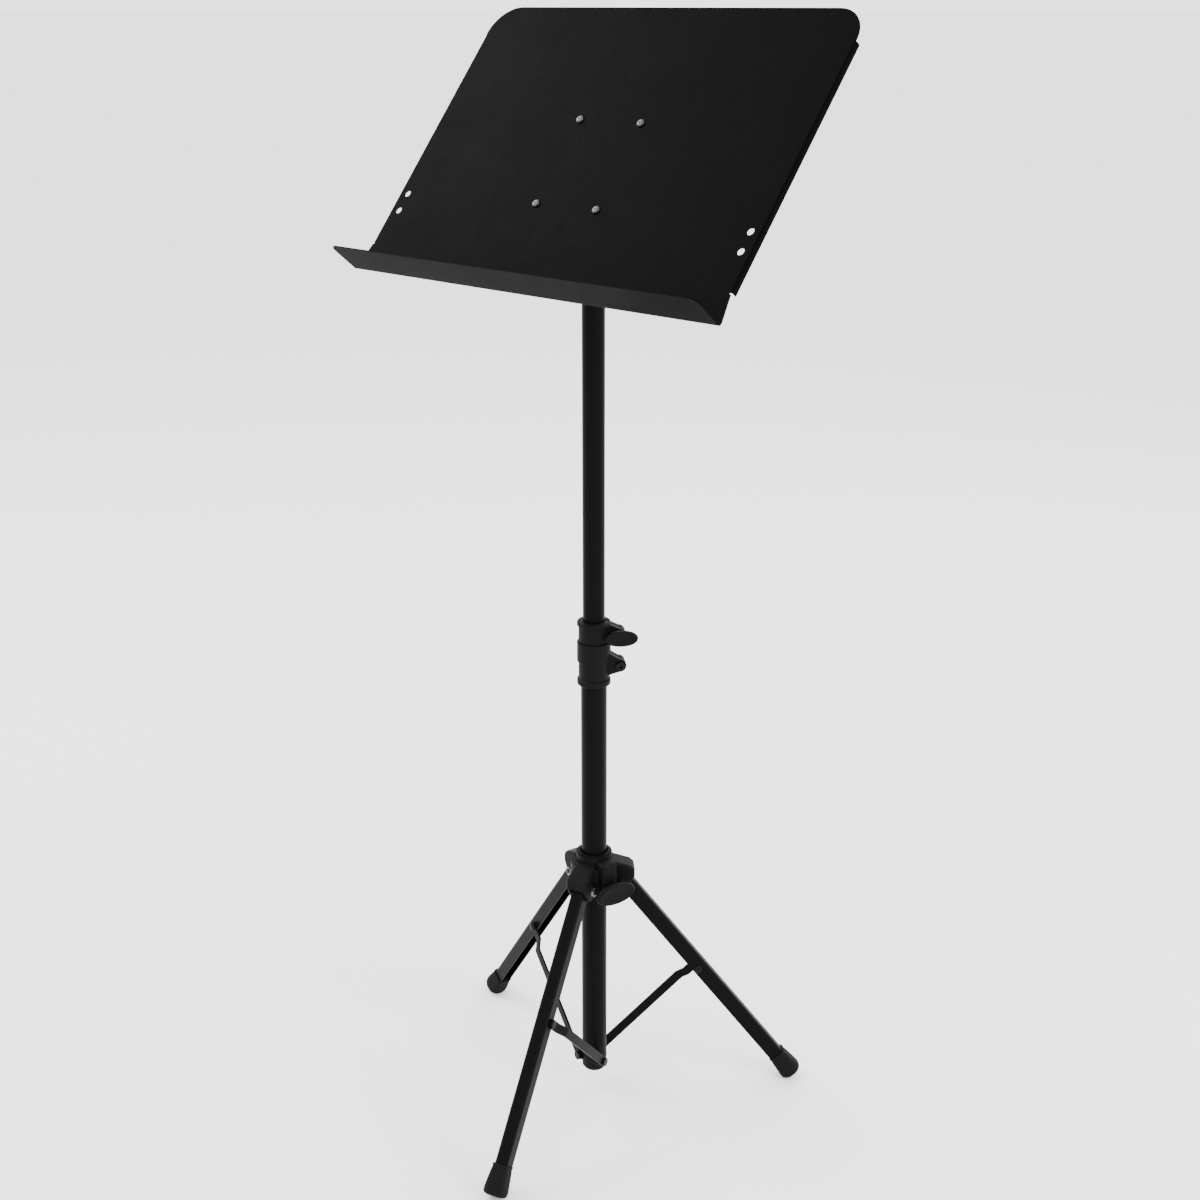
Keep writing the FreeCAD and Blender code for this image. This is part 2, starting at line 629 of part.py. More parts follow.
def make_tube_glide():
    """The ring that rides inside the lower tube and holds the upper tube's lower end."""
    outer = "lower_tube_outer / 2 - lower_tube_wall - running_gap"
    socket = "upper_tube_outer / 2 + running_gap"
    bottom = f"({upper_tube_bottom()} - running_gap - glide_lip)"
    solid = cylinder("GlideBody", outer, "glide_height", z=bottom)
    seat = cylinder("GlideSeat", socket, "glide_height - glide_lip", z=f"{bottom} + glide_lip")
    mouth = cylinder("GlideMouth", "upper_tube_outer / 2 - upper_tube_wall", "glide_height", z=bottom)
    keep("tube_glide", cut("TubeGlide", solid, fuse("GlideHollow", seat, mouth)))


# ---------------------------------------------------------------- collar

def add_ear(body, prefix, root_low, root_high, height):
    """A clamp ear: a tapered pad that ends in a round about its screw, along -Y."""
    plate = sketch_on(body, prefix + "EarOutline", "YZ_Plane")
    outline(plate, [
        ("-ear_root", root_high),
        ("-ear_reach", f"{height} + ear_radius"),
        ("-ear_reach - ear_radius", height, "ear_radius", 1),
        ("-ear_reach", f"{height} - ear_radius", "ear_radius", 1),
        ("-ear_root", root_low),
    ])
    return pad(body, prefix + "Ear", plate, "ear_width", both_ways=True)


def add_slit(body, prefix, bottom, length):
    """The slit between an ear's halves, through the wall of the collar."""
    slot = sketch_on(body, prefix + "SlitOutline", "XY_Plane", bottom)
    rectangle(slot, "-ear_slit / 2", "ear_slit / 2", "-ear_reach - 2 * ear_radius", "-upper_tube_outer / 4")
    return pocket(body, prefix + "Slit", slot, length, reverse=True)


def add_ear_bore(body, prefix, height, radius):
    bore = sketch_on(body, prefix + "EarBoreOutline", "YZ_Plane")
    circle(bore, "-ear_reach", height, radius)
    return pocket(body, prefix + "EarBore", bore, "2 * ear_width", both_ways=True)


def add_nut_pocket(body, prefix, height, radius, depth):
    """A hexagonal pocket in the +X face of an ear."""
    recess = sketch_on(body, prefix + "NutOutline", "YZ_Plane", f"ear_width / 2 - {depth}")
    half = f"({radius} / 2)"
    flat = f"({radius} * sin(60 * 1 deg))"
    outline(recess, [
        (f"-ear_reach + {radius}", height),
        (f"-ear_reach + {half}", f"{height} + {flat}"),
        (f"-ear_reach - {half}", f"{height} + {flat}"),
        (f"-ear_reach - {radius}", height),
        (f"-ear_reach - {half}", f"{height} - {flat}"),
        (f"-ear_reach + {half}", f"{height} - {flat}"),
    ])
    return pocket(body, prefix + "NutPocket", recess, f"2 * {depth}", reverse=True)


def make_collar_upper():
    """The split clamp round the upper tube, with its guide inside the lower tube."""
    body = new_body("CollarUpper")
    profile = sketch_on(body, "CollarUpperProfile", "XZ_Plane")
    split = collar_split()
    top = f"({split} + collar_upper_height)"
    bore = "upper_tube_outer / 2 + running_gap"
    guide = "lower_tube_outer / 2 - lower_tube_wall - press_gap"
    outline(profile, [
        (bore, f"{split} - collar_spigot"),
        (guide, f"{split} - collar_spigot"),
        (guide, split),
        ("collar_radius", split),
        ("collar_radius", f"{top} - collar_rim_height"),
        ("collar_rim_radius", f"{top} - collar_rim_height + (collar_rim_radius - collar_radius)"),
        ("collar_rim_radius", f"{top} - collar_rim_round"),
        ("collar_rim_radius - collar_rim_round", top, "collar_rim_round", 1),
        (bore, top),
    ])
    revolve(body, "CollarUpperTurn", profile)
    height = f"({split} + upper_ear_height)"
    add_ear(body, "CollarUpper", f"{split} + joint_gap", f"{split} + upper_ear_top", height)
    add_slit(body, "CollarUpper", split, "collar_upper_height")
    add_ear_bore(body, "CollarUpper", height, "clamp_screw_radius + running_gap")
    add_nut_pocket(body, "CollarUpper", height, "clamp_nut_radius", "clamp_nut_depth")
    keep("collar_upper", body, round_mast(number("ear_azimuth")))


def make_collar_lower():
    """The split sleeve that holds the clamp on the lower tube."""
    body = new_body("CollarLower")
    profile = sketch_on(body, "CollarLowerProfile", "XZ_Plane")
    split = collar_split()
    bottom = f"({split} - collar_lower_height)"
    bore = "lower_tube_outer / 2 + press_gap"
    guide = "lower_tube_outer / 2 - lower_tube_wall"
    flare = "(collar_rim_radius - collar_radius)"
    outline(profile, [
        (bore, bottom),
        ("collar_rim_radius - collar_rim_round", bottom),
        ("collar_rim_radius", f"{bottom} + collar_rim_round", "collar_rim_round", 1),
        ("collar_rim_radius", f"{bottom} + collar_rim_height"),
        ("collar_radius", f"{bottom} + collar_rim_height + {flare}"),
        ("collar_radius", f"{split} - collar_band_height - {flare}"),
        ("collar_rim_radius", f"{split} - collar_band_height"),
        ("collar_rim_radius", split),
        (guide, split),
        (guide, lower_tube_top()),
        (bore, lower_tube_top()),
    ])
    revolve(body, "CollarLowerTurn", profile)
    height = f"({bottom} + lower_ear_height)"
    add_ear(body, "CollarLower", f"{bottom} + lower_ear_low", f"{bottom} + lower_ear_top", height)
    add_slit(body, "CollarLower", bottom, "collar_lower_height - collar_band_height / 2")
    add_ear_bore(body, "CollarLower", height, "clamp_screw_radius + press_gap")
    add_nut_pocket(body, "CollarLower", height, "clamp_nut_radius", "clamp_nut_depth")
    keep("collar_lower", body, round_mast(number("ear_azimuth")))


def clamp_nut(name, bore, height):
    """A hexagon nut in an ear's pocket, on the +X side."""
    start = "ear_width / 2 - clamp_nut_depth"
    corner_outwards = ALONG_X * FreeCAD.Rotation(Z_AXIS, 90)
    block = hexagon(name + "Block", "clamp_nut_radius - press_gap", "clamp_nut_height",
                    start, "-ear_reach", height, corner_outwards)
    thread = cylinder(name + "Thread", bore, "clamp_nut_height", start, "-ear_reach", height, ALONG_X)
    return cut(name, block, thread)


def make_collar_screw_and_nuts():
    turned = round_mast(number("ear_azimuth"))
    upper = f"({collar_split()} + upper_ear_height)"
    lower = f"({collar_split()} - collar_lower_height + lower_ear_height)"
    keep("collar_nut", clamp_nut("CollarNut", "clamp_screw_radius + running_gap", upper), turned)
    keep("collar_bolt_nut", clamp_nut("CollarBoltNut", "clamp_screw_radius + press_gap", lower), turned)
    far_end = "(ear_width / 2 - clamp_nut_depth + clamp_nut_height + clamp_screw_tail)"
    near_end = "(ear_width / 2 + joint_gap + knob_grip)"
    stud = cylinder("CollarScrew", "clamp_screw_radius", f"{far_end} + {near_end}")
    keep("collar_screw", stud, turned * shift(f"-{near_end}", "-ear_reach", upper, ALONG_X))
    near_face = "-ear_width / 2"
    shank = cylinder("CollarBoltShank", "clamp_screw_radius", f"{far_end} + ear_width / 2",
                     near_face, "-ear_reach", lower, ALONG_X)
    head = cylinder("CollarBoltHead", "bolt_head_radius", "bolt_head_height",
                    f"{near_face} - bolt_head_height", "-ear_reach", lower, ALONG_X)
    socket = hexagon("CollarBoltSocket", "bolt_socket_radius", "bolt_socket_depth",
                     f"{near_face} - bolt_head_height", "-ear_reach", lower, ALONG_X)
    keep("collar_bolt", cut("CollarBolt", fuse("CollarBoltSolid", shank, head), socket), turned)


# ---------------------------------------------------------------- knobs

def make_knob(node, half_long, half_short, tip, stud_radius, place):
    """An oval wing on a round neck. Local +Z points away from what the stud screws into."""
    body = new_body("".join(word.capitalize() for word in node.split("_")))
    wing = sketch_on(body, node + "_wing_outline", "XY_Plane", "knob_neck")
    oval(wing, half_long, half_short, tip)
    block = pad(body, node + "_wing", wing, "knob_thickness")
    fillet(body, node + "_wing_round", block, "knob_round", lambda edge: edge.Length > number("knob_round"))
    neck = sketch_on(body, node + "_neck_outline", "XY_Plane")
    circle(neck, "0", "0", "knob_neck_radius")
    pad(body, node + "_neck", neck, "knob_neck + knob_thickness / 2")
    bore = sketch_on(body, node + "_bore_outline", "XY_Plane")
    circle(bore, "0", "0", stud_radius)
    pocket(body, node + "_bore", bore, "knob_grip", reverse=True)
    keep(node, body, place)


def make_collar_knob():
    height = f"{collar_split()} + upper_ear_height"
    face_on = FreeCAD.Rotation(Y_AXIS, -90) * FreeCAD.Rotation(Z_AXIS, 90)
    place = round_mast(number("ear_azimuth")) * shift("-ear_width / 2 - joint_gap", "-ear_reach", height,
                                                      face_on)
    make_knob("collar_knob", "small_knob_half_length", "small_knob_half_width", "small_knob_tip",
              "clamp_screw_radius + press_gap", place)


# ---------------------------------------------------------------- tripod

def make_leg(side):
    """A rolled channel, open towards the mast, with its pin and rivet holes."""
    body = new_body(f"Leg_{side}")
    section = sketch_on(body, f"LegSection_{side}", "XY_Plane", f"-({leg_length()})")
    outer = "-leg_offset - leg_depth / 2"
    inner = "-leg_offset + leg_depth / 2"
    half = "leg_width / 2"
    bend = "(leg_corner - leg_wall)"
    outline(section, [
        (f"{half} - leg_corner", outer),
        (half, f"{outer} + leg_corner", "leg_corner", 1),
        (half, inner),
        (f"{half} - leg_wall", inner),
        (f"{half} - leg_wall", f"{outer} + leg_corner"),
        (f"{half} - leg_corner", f"{outer} + leg_wall", bend, -1),
        (f"-{half} + leg_corner", f"{outer} + leg_wall"),
        (f"-{half} + leg_wall", f"{outer} + leg_corner", bend, -1),
        (f"-{half} + leg_wall", inner),
        (f"-{half}", inner),
        (f"-{half}", f"{outer} + leg_corner"),
        (f"-{half} + leg_corner", outer, "leg_corner", 1),
    ])
    pad(body, f"LegChannel_{side}", section, f"{leg_length()} + leg_top")
    holes = sketch_on(body, f"LegHoles_{side}", "YZ_Plane")
    circle(holes, "0", "0", "hub_pin_radius + running_gap")
    circle(holes, "0", "-leg_link", "rivet_radius + press_gap")
    pocket(body, f"LegBores_{side}", holes, "2 * leg_width", both_ways=True)
    keep(f"leg_{side}", body, leg_place(side))


def foot_end():
    """Distance of a foot's sole from the leg's top pin: the sole's inner edge would be
    the depth of the flat below the floor."""
    edge = "((foot_radius - leg_offset) * sin(leg_angle * 1 deg))"
    return f"((hub_pin_height - {edge} + foot_flat) / cos(leg_angle * 1 deg))"


def leg_length():
    return f"({foot_end()} - foot_sole)"


def floor_line(y):
    """Height of the floor in the leg's own frame, at a distance y across it."""
    return f"(({y} * sin(leg_angle * 1 deg) - hub_pin_height) / cos(leg_angle * 1 deg))"


def make_foot(side):
    """A flared rubber foot: a loft from the leg's section to a nearly round sole."""
    body = new_body(f"Foot_{side}")
    sole = sketch_on(body, f"FootSole_{side}", "XY_Plane", f"-{foot_end()}")
    rounded_rectangle(sole, "foot_radius", "foot_radius", "foot_sole_round", "-leg_offset")
    top = sketch_on(body, f"FootTop_{side}", "XY_Plane", f"foot_length - {foot_end()}")
    rounded_rectangle(top, "(leg_width / 2 + foot_wall)", "(leg_depth / 2 + foot_wall)", "foot_top_round",
                      "-leg_offset")
    loft = body.newObject("PartDesign::AdditiveLoft", f"FootLoft_{side}")
    loft.Profile = sole
    loft.Sections = [top]
    loft.Ruled = True
    mouth = sketch_on(body, f"FootMouth_{side}", "XY_Plane", f"-{leg_length()}")
    half = "(leg_width / 2 + press_gap)"
    outer = "(-leg_offset - leg_depth / 2 - press_gap)"
    inner = "(-leg_offset + leg_depth / 2 + press_gap)"
    outline(mouth, [
        (f"{half} - leg_corner", outer),
        (half, f"{outer} + leg_corner", "leg_corner", 1),
        (half, inner),
        (f"-{half}", inner),
        (f"-{half}", f"{outer} + leg_corner"),
        (f"-{half} + leg_corner", outer, "leg_corner", 1),
    ])
    pocket(body, f"FootSocket_{side}", mouth, "foot_length", reverse=True)
    floor = sketch_on(body, f"FootFloor_{side}", "YZ_Plane")
    near = "(2 * foot_radius)"
    far = "(-3 * foot_radius)"
    deep = f"({floor_line(far)} - foot_length)"
    outline(floor, [(near, floor_line(near)), (far, floor_line(far)), (far, deep), (near, deep)])
    pocket(body, f"FootFlat_{side}", floor, "4 * foot_radius", both_ways=True)
    keep(f"foot_{side}", body, leg_place(side))


def make_rivet(side):
    """The rivet through a leg's sides and its strut."""
    near = "(leg_width / 2)"
    far = f"({strut_middle(side)} + strut_thickness / 2 + {strut_side_gap(side)})"
    shank = cylinder(f"RivetShank_{side}", "rivet_radius", f"{near} + {far}", x=f"-{near}", turn=ALONG_X)
    near_head = cone(f"RivetNearHead_{side}", "rivet_head_radius * head_taper", "rivet_head_radius",
                     "rivet_head_height", x=f"-{near} - rivet_head_height", turn=ALONG_X)
    far_head = cone(f"RivetFarHead_{side}", "rivet_head_radius", "rivet_head_radius * head_taper",
                    "rivet_head_height", x=far, turn=ALONG_X)
    rivet = fuse(f"Rivet_{side}", shank, near_head, far_head)
    keep(f"rivet_{side}", rivet, leg_place(side) * shift("0", "0", "-leg_link"))


def make_strut(side):
    """A flat bar, flush with its leg at the top and cranked outwards to pass the mast."""
    body = new_body(f"Strut_{side}")
    half = "(strut_thickness / 2)"
    beside_leg = strut_middle(side)
    low = "-strut_width / 2"
    high = f"({strut_length()} + strut_width / 2)"
    bend_low = f"({strut_length()} - strut_flush - strut_crank)"
    bend_high = f"({strut_length()} - strut_flush)"
    profile = sketch_on(body, f"StrutProfile_{side}", "XZ_Plane")
    outline(profile, [
        (f"strut_side - {half}", low),
        (f"strut_side + {half}", low),
        (f"strut_side + {half}", bend_low),
        (f"{beside_leg} + {half}", bend_high),
        (f"{beside_leg} + {half}", high),
        (f"{beside_leg} - {half}", high),
        (f"{beside_leg} - {half}", bend_high),
        (f"strut_side - {half}", bend_low),
    ])
    bar = pad(body, f"StrutBar_{side}", profile, "strut_width", both_ways=True)
    ends = (number(low), number(high))
    fillet(body, f"StrutEnds_{side}", bar, "strut_round",
           lambda edge: runs_along(edge, X_AXIS)
           and min(abs(edge.CenterOfMass.z - end) for end in ends) < SAME_PLACE)
    play = "running_gap" if side == "front" else "link_gap"
    holes = sketch_on(body, f"StrutHoles_{side}", "YZ_Plane")
    circle(holes, "0", "0", "base_pin_radius + running_gap")
    circle(holes, "0", strut_length(), f"rivet_radius + {play}")
    pocket(body, f"StrutBores_{side}", holes, "4 * strut_side", both_ways=True)
    keep(f"strut_{side}", body, strut_place(side))


# ---------------------------------------------------------------- hub

def make_hub_lobe(side):
    """A hood that holds a leg's top end."""
    body = new_body(f"Lobe_{side}")
    profile = sketch_on(body, f"LobeProfile_{side}", "YZ_Plane")
    outline(profile, [
        ("-hub_boss_radius / 2", "hub_bottom"),
        ("-hub_toe", "hub_bottom"),
        ("-hub_reach", "hub_hood"),
        ("-hub_reach", "hub_brow - lobe_bevel"),
        ("-hub_reach + lobe_bevel", "hub_brow"),
        ("-hub_boss_radius", "hub_shoulder"),
        ("-hub_boss_radius / 2", "hub_shoulder"),
    ])
    block = pad(body, f"LobeBlock_{side}", profile, "2 * lobe_half_width", both_ways=True)
    inner_edge = -number("hub_boss_radius")
    fillet(body, f"LobeRound_{side}", block, "hub_round",
           lambda edge: edge.CenterOfMass.y < inner_edge - SAME_PLACE
           and abs(edge.CenterOfMass.x) > SAME_PLACE
           and edge.CenterOfMass.z > number("hub_bottom") + SAME_PLACE)
    body.Placement = round_mast(side_azimuth(side))
    return body


def make_lobe_hollow(side):
    """The room for a leg's top end, open below and outwards under the hood."""
    body = new_body(f"LobeHollow_{side}")
    profile = sketch_on(body, f"HollowProfile_{side}", "YZ_Plane")
    below = "hub_bottom - 2 * hub_wall"
    inner = "-hub_boss_radius + joint_gap"
    past = "-hub_reach - 2 * hub_wall"
    outline(profile, [
        (inner, below),
        (past, below),
        (past, "hub_hood"),
        ("-hub_reach + hub_wall", "hub_hood"),
        ("-hub_reach + hub_wall", "hub_roof - lobe_bevel / 2"),
        ("-hub_reach + hub_wall + lobe_bevel / 2", "hub_roof"),
        (inner, "hub_roof"),
    ])
    pad(body, f"HollowBlock_{side}", profile, "leg_width + 2 * leg_side_gap", both_ways=True)
    body.Placement = round_mast(side_azimuth(side))
    return body


def make_lock_boss():
    """The raised block that holds the locking insert."""
    body = new_body("LockBoss")
    profile = sketch_on(body, "LockBossProfile", "YZ_Plane")
    rectangle(profile, "-boss_reach", "-hub_boss_radius / 2", "boss_low", "boss_high")
    block = pad(body, "LockBossBlock", profile, "boss_width", both_ways=True)
    inner_edge = -number("hub_boss_radius")
    fillet(body, "LockBossRound", block, "hub_round", lambda edge: edge.CenterOfMass.y < inner_edge)
    body.Placement = round_mast(number("lock_azimuth"))
    return body


def make_hub():
    """The sliding hub: a sleeve, three hooded lobes for the legs and a boss for the lock."""
    sleeve = cylinder("HubSleeve", "hub_boss_radius", "hub_top - hub_bottom", z="hub_bottom")
    drum = cylinder("HubDrum", "hub_body_radius", "hub_body_high - hub_body_low", z="hub_body_low")
    lobes = [make_hub_lobe(side) for side in SIDES]
    solid = fuse("HubSolid", sleeve, drum, make_lock_boss(), *lobes)
    tools = [make_lobe_hollow(side) for side in SIDES]
    for side in SIDES:
        pin_bore = cylinder(f"HubPinBore_{side}", "hub_pin_radius + press_gap", "4 * leg_width")
        pin_bore.Placement = round_mast(side_azimuth(side)) * shift(
            "-2 * leg_width", "-hub_pin_place", "hub_pin_height", ALONG_X)
        tools.append(pin_bore)
    tools.append(cylinder("HubBore", "bushing_outer + press_gap", "2 * hub_top"))
    turned = round_mast(number("lock_azimuth"))
    socket = cylinder("HubInsertSocket", "insert_radius + press_gap", "insert_length + hub_wall")
    socket.Placement = turned * shift("0", "-boss_reach + insert_length", "hub_pin_height", OUTWARDS)
    stud_bore = cylinder("HubStudBore", "lock_radius + running_gap", "boss_reach")
    stud_bore.Placement = turned * shift("0", "0", "hub_pin_height", OUTWARDS)
    keep("hub", cut("Hub", solid, fuse("HubTools", *tools, socket, stud_bore)))


def make_hub_bushing():
    """The ring between the hub and the lower tube, with a hole for the locking stud."""
    sleeve = ring("BushingSleeve", "bushing_outer", "bushing_bore", "hub_top - hub_bottom", z="hub_bottom")
    flange = ring("BushingFlange", "bushing_outer + bushing_flange", "bushing_bore", "bushing_flange",
                  z="hub_top")
    hole = cylinder("BushingHole", "lock_radius + running_gap", "boss_reach")
    hole.Placement = round_mast(number("lock_azimuth")) * shift("0", "0", "hub_pin_height", OUTWARDS)
    keep("hub_bushing", cut("HubBushing", fuse("BushingSolid", sleeve, flange), hole))


def make_hub_pins():
    """The three leg pins with their heads, and their nuts."""
    face = "lobe_half_width"
    end = f"({face} + pin_nut_height + pin_tail)"
    pins = []
    nuts = []
    for side in SIDES:
        place = round_mast(side_azimuth(side)) * shift("0", "-hub_pin_place", "hub_pin_height")
        shank = cylinder(f"HubPinShank_{side}", "hub_pin_radius", f"{face} + {end}", f"-{face}", turn=ALONG_X)
        head = cone(f"HubPinHead_{side}", "pin_head_radius * head_taper", "pin_head_radius", "pin_head_height",
                    f"-{face} - pin_head_height", turn=ALONG_X)
        pin = fuse(f"HubPin_{side}", shank, head)
        pin.Placement = place
        pins.append(pin)
        block = hexagon(f"HubPinNutBlock_{side}", "pin_nut_radius", "pin_nut_height", face, turn=ALONG_X)
        thread = cylinder(f"HubPinNutThread_{side}", "hub_pin_radius + press_gap", "pin_nut_height", face,
                          turn=ALONG_X)
        nut = cut(f"HubPinNut_{side}", block, thread)
        nut.Placement = place
        nuts.append(nut)
    keep("hub_pins", group("HubPins", pins))
    keep("hub_pin_nuts", group("HubPinNuts", nuts))


def make_hub_lock():
    """The threaded insert, the locking stud and its oval knob."""
    turned = round_mast(number("lock_azimuth"))
    insert = ring("HubInsert", "insert_radius", "lock_radius + running_gap", "insert_length")
    keep("hub_insert", insert, turned * shift("0", "-boss_reach + insert_length", "hub_pin_height", OUTWARDS))
    tip = "(lower_tube_outer / 2 + lock_tip_gap)"
    stud = cylinder("HubScrew", "lock_radius", f"boss_reach + joint_gap + knob_grip - {tip}")
    keep("hub_screw", stud, turned * shift("0", f"-{tip}", "hub_pin_height", OUTWARDS))
    place = turned * shift("0", "-boss_reach - joint_gap", "hub_pin_height", OUTWARDS)
    make_knob("hub_knob", "hub_knob_half_length", "hub_knob_half_width", "hub_knob_tip",
              "lock_radius + press_gap", place)


# ---------------------------------------------------------------- desk

def flipped(path):
    """The same outline on the other side of the sketch's vertical axis."""
    mirrored = []
    for entry in path:
        turn = () if len(entry) == 2 else (entry[2], -entry[3])
        mirrored.append((f"-({entry[0]})", entry[1], *turn))
    return mirrored


def bracket_screw_places():
    """The four screws' expressions across and up the plate."""
    across = "bracket_screws_across / 2"
    low = "bracket_screw_height - bracket_screws_up / 2"
    high = "bracket_screw_height + bracket_screws_up / 2"
    return [(f"-{across}", low), (f"-{across}", high), (across, low), (across, high)]


def make_desk_plate():
    """One sheet: the plate, its ledge, and side flanges bent backwards."""
    body = new_body("DeskPlate")
    bend = "(desk_bend + desk_sheet)"
    profile = sketch_on(body, "DeskProfile", "YZ_Plane")
    outline(profile, [
        ("-ledge_depth", "0"),
        (f"desk_sheet - {bend}", "0"),
        ("desk_sheet", bend, bend, 1),
        ("desk_sheet", "desk_height"),
        ("0", "desk_height"),
        ("0", bend),
        ("-desk_bend", "desk_sheet", "desk_bend", -1),
        ("-ledge_depth", "desk_sheet"),
    ])
    pad(body, "DeskSheet", profile, "ledge_width", both_ways=True)
    ledge_half = "ledge_width / 2"
    flat_half = f"(desk_width / 2 - {bend})"
    corner_half = "(desk_width / 2 - corner_step)"
    flange_top = "(desk_height - desk_corner - flange_gap)"
    past = "(ledge_width / 2 + desk_corner)"
    above = "(desk_height + desk_corner)"
    trim = [
        (ledge_half, "ledge_flare"),
        (corner_half, "flange_start - flange_gap"),
        (flat_half, "flange_start - flange_gap"),
        (flat_half, flange_top),
        (corner_half, flange_top),
        (corner_half, "desk_height - desk_corner"),
        (f"{corner_half} - desk_corner", "desk_height", "desk_corner", 1),
        (f"{corner_half} - desk_corner", above),
        (past, above),
        (past, "ledge_flare"),
    ]
    sides = sketch_on(body, "DeskSides", "XZ_Plane")
    outline(sides, trim)
    outline(sides, flipped(trim))
    pocket(body, "DeskSidesCut", sides, "2 * desk_sheet", both_ways=True)
    flange = [
        (f"{flat_half} - desk_bend", "0"),
        (flat_half, "0"),
        ("desk_width / 2", bend, bend, 1),
        ("desk_width / 2", "flange_depth"),
        ("desk_width / 2 - desk_sheet", "flange_depth"),
        ("desk_width / 2 - desk_sheet", bend),
        (flat_half, "desk_sheet", "desk_bend", -1),
        (f"{flat_half} - desk_bend", "desk_sheet"),
    ]
    flanges = sketch_on(body, "DeskFlanges", "XY_Plane", "flange_start")
    outline(flanges, flange)
    outline(flanges, flipped(flange))
    pad(body, "DeskFlangesPad", flanges, f"{flange_top} - flange_start")
    corner = [
        (ledge_half, "-ledge_depth + ledge_corner"),
        (f"{ledge_half} - ledge_corner", "-ledge_depth", "ledge_corner", -1),
        (f"{ledge_half} - ledge_corner", "-ledge_depth - ledge_corner"),
        (past, "-ledge_depth - ledge_corner"),
        (past, "-ledge_depth + ledge_corner"),
    ]
    corners = sketch_on(body, "LedgeCorners", "XY_Plane")
    outline(corners, corner)
    outline(corners, flipped(corner))
    pocket(body, "LedgeCornersCut", corners, "4 * desk_sheet", both_ways=True)
    holes = sketch_on(body, "DeskHoles", "XZ_Plane")
    for across, up in bracket_screw_places():
        circle(holes, across, up, "bracket_screw_radius + press_gap")
    for sign in ("", "-"):
        for step in (0, 1):
            circle(holes, f"{sign}(desk_width / 2 - side_hole_inset)",
                   f"side_hole_low + {step} * side_hole_pitch", "side_hole_radius")
    pocket(body, "DeskHolesCut", holes, "4 * desk_sheet", both_ways=True)
    keep("desk_plate", body, desk_place())


def cheek_inner():
    return "(tilt_head_width / 2 + tilt_washer + joint_gap)"


def make_bracket(node, mirrored):
    """A bent cheek behind the plate: a foot under two screws and an ear round the bolt."""
    body = new_body(node.title().replace("_", ""))
    side = flipped if mirrored else list
    sign = "-" if mirrored else ""
    back = "(desk_sheet + cheek_sheet)"
    bend = "(cheek_bend + cheek_sheet)"
    inner = cheek_inner()
    section = sketch_on(body, node + "_section", "XY_Plane",
                        "bracket_screw_height - bracket_screws_up / 2 - cheek_margin")
    outline(section, side([
        (f"{inner} + cheek_foot", "desk_sheet"),
        (f"{inner} + cheek_foot", back),
        (f"{inner} + {bend}", back),
        (f"{inner} + cheek_sheet", f"{back} + cheek_bend", "cheek_bend", -1),
        (f"{inner} + cheek_sheet", "desk_sheet + cheek_depth"),
        (inner, "desk_sheet + cheek_depth"),
        (inner, f"{back} + cheek_bend"),
        (f"{inner} + {bend}", "desk_sheet", bend, 1),
    ]))
    pad(body, node + "_foot", section, "bracket_screws_up + 2 * cheek_margin")
    lift = inner if not mirrored else f"-{inner} - cheek_sheet"
    ear = sketch_on(body, node + "_ear_outline", "YZ_Plane", lift)
    root = "(desk_sheet + cheek_depth - cheek_sheet)"
    outline(ear, [
        (root, "tilt_above - cheek_flare"),
        ("tilt_behind", "tilt_above - cheek_end"),
        ("tilt_behind + cheek_end", "tilt_above", "cheek_end", 1),
        ("tilt_behind", "tilt_above + cheek_end", "cheek_end", 1),
        (root, "tilt_above + cheek_flare"),
    ])
    pad(body, node + "_ear", ear, "cheek_sheet")
    bolt_hole = sketch_on(body, node + "_bolt_outline", "YZ_Plane", lift)
    circle(bolt_hole, "tilt_behind", "tilt_above", "tilt_bolt_radius + press_gap")
    pocket(body, node + "_bolt_hole", bolt_hole, "4 * cheek_sheet", both_ways=True)
    holes = sketch_on(body, node + "_screw_outline", "XZ_Plane")
    for across, up in bracket_screw_places():
        if across.startswith("-") == mirrored:
            circle(holes, across, up, "bracket_screw_radius + press_gap")
    pocket(body, node + "_screw_holes", holes, "4 * cheek_sheet", both_ways=True)
    keep(node, body, desk_place())


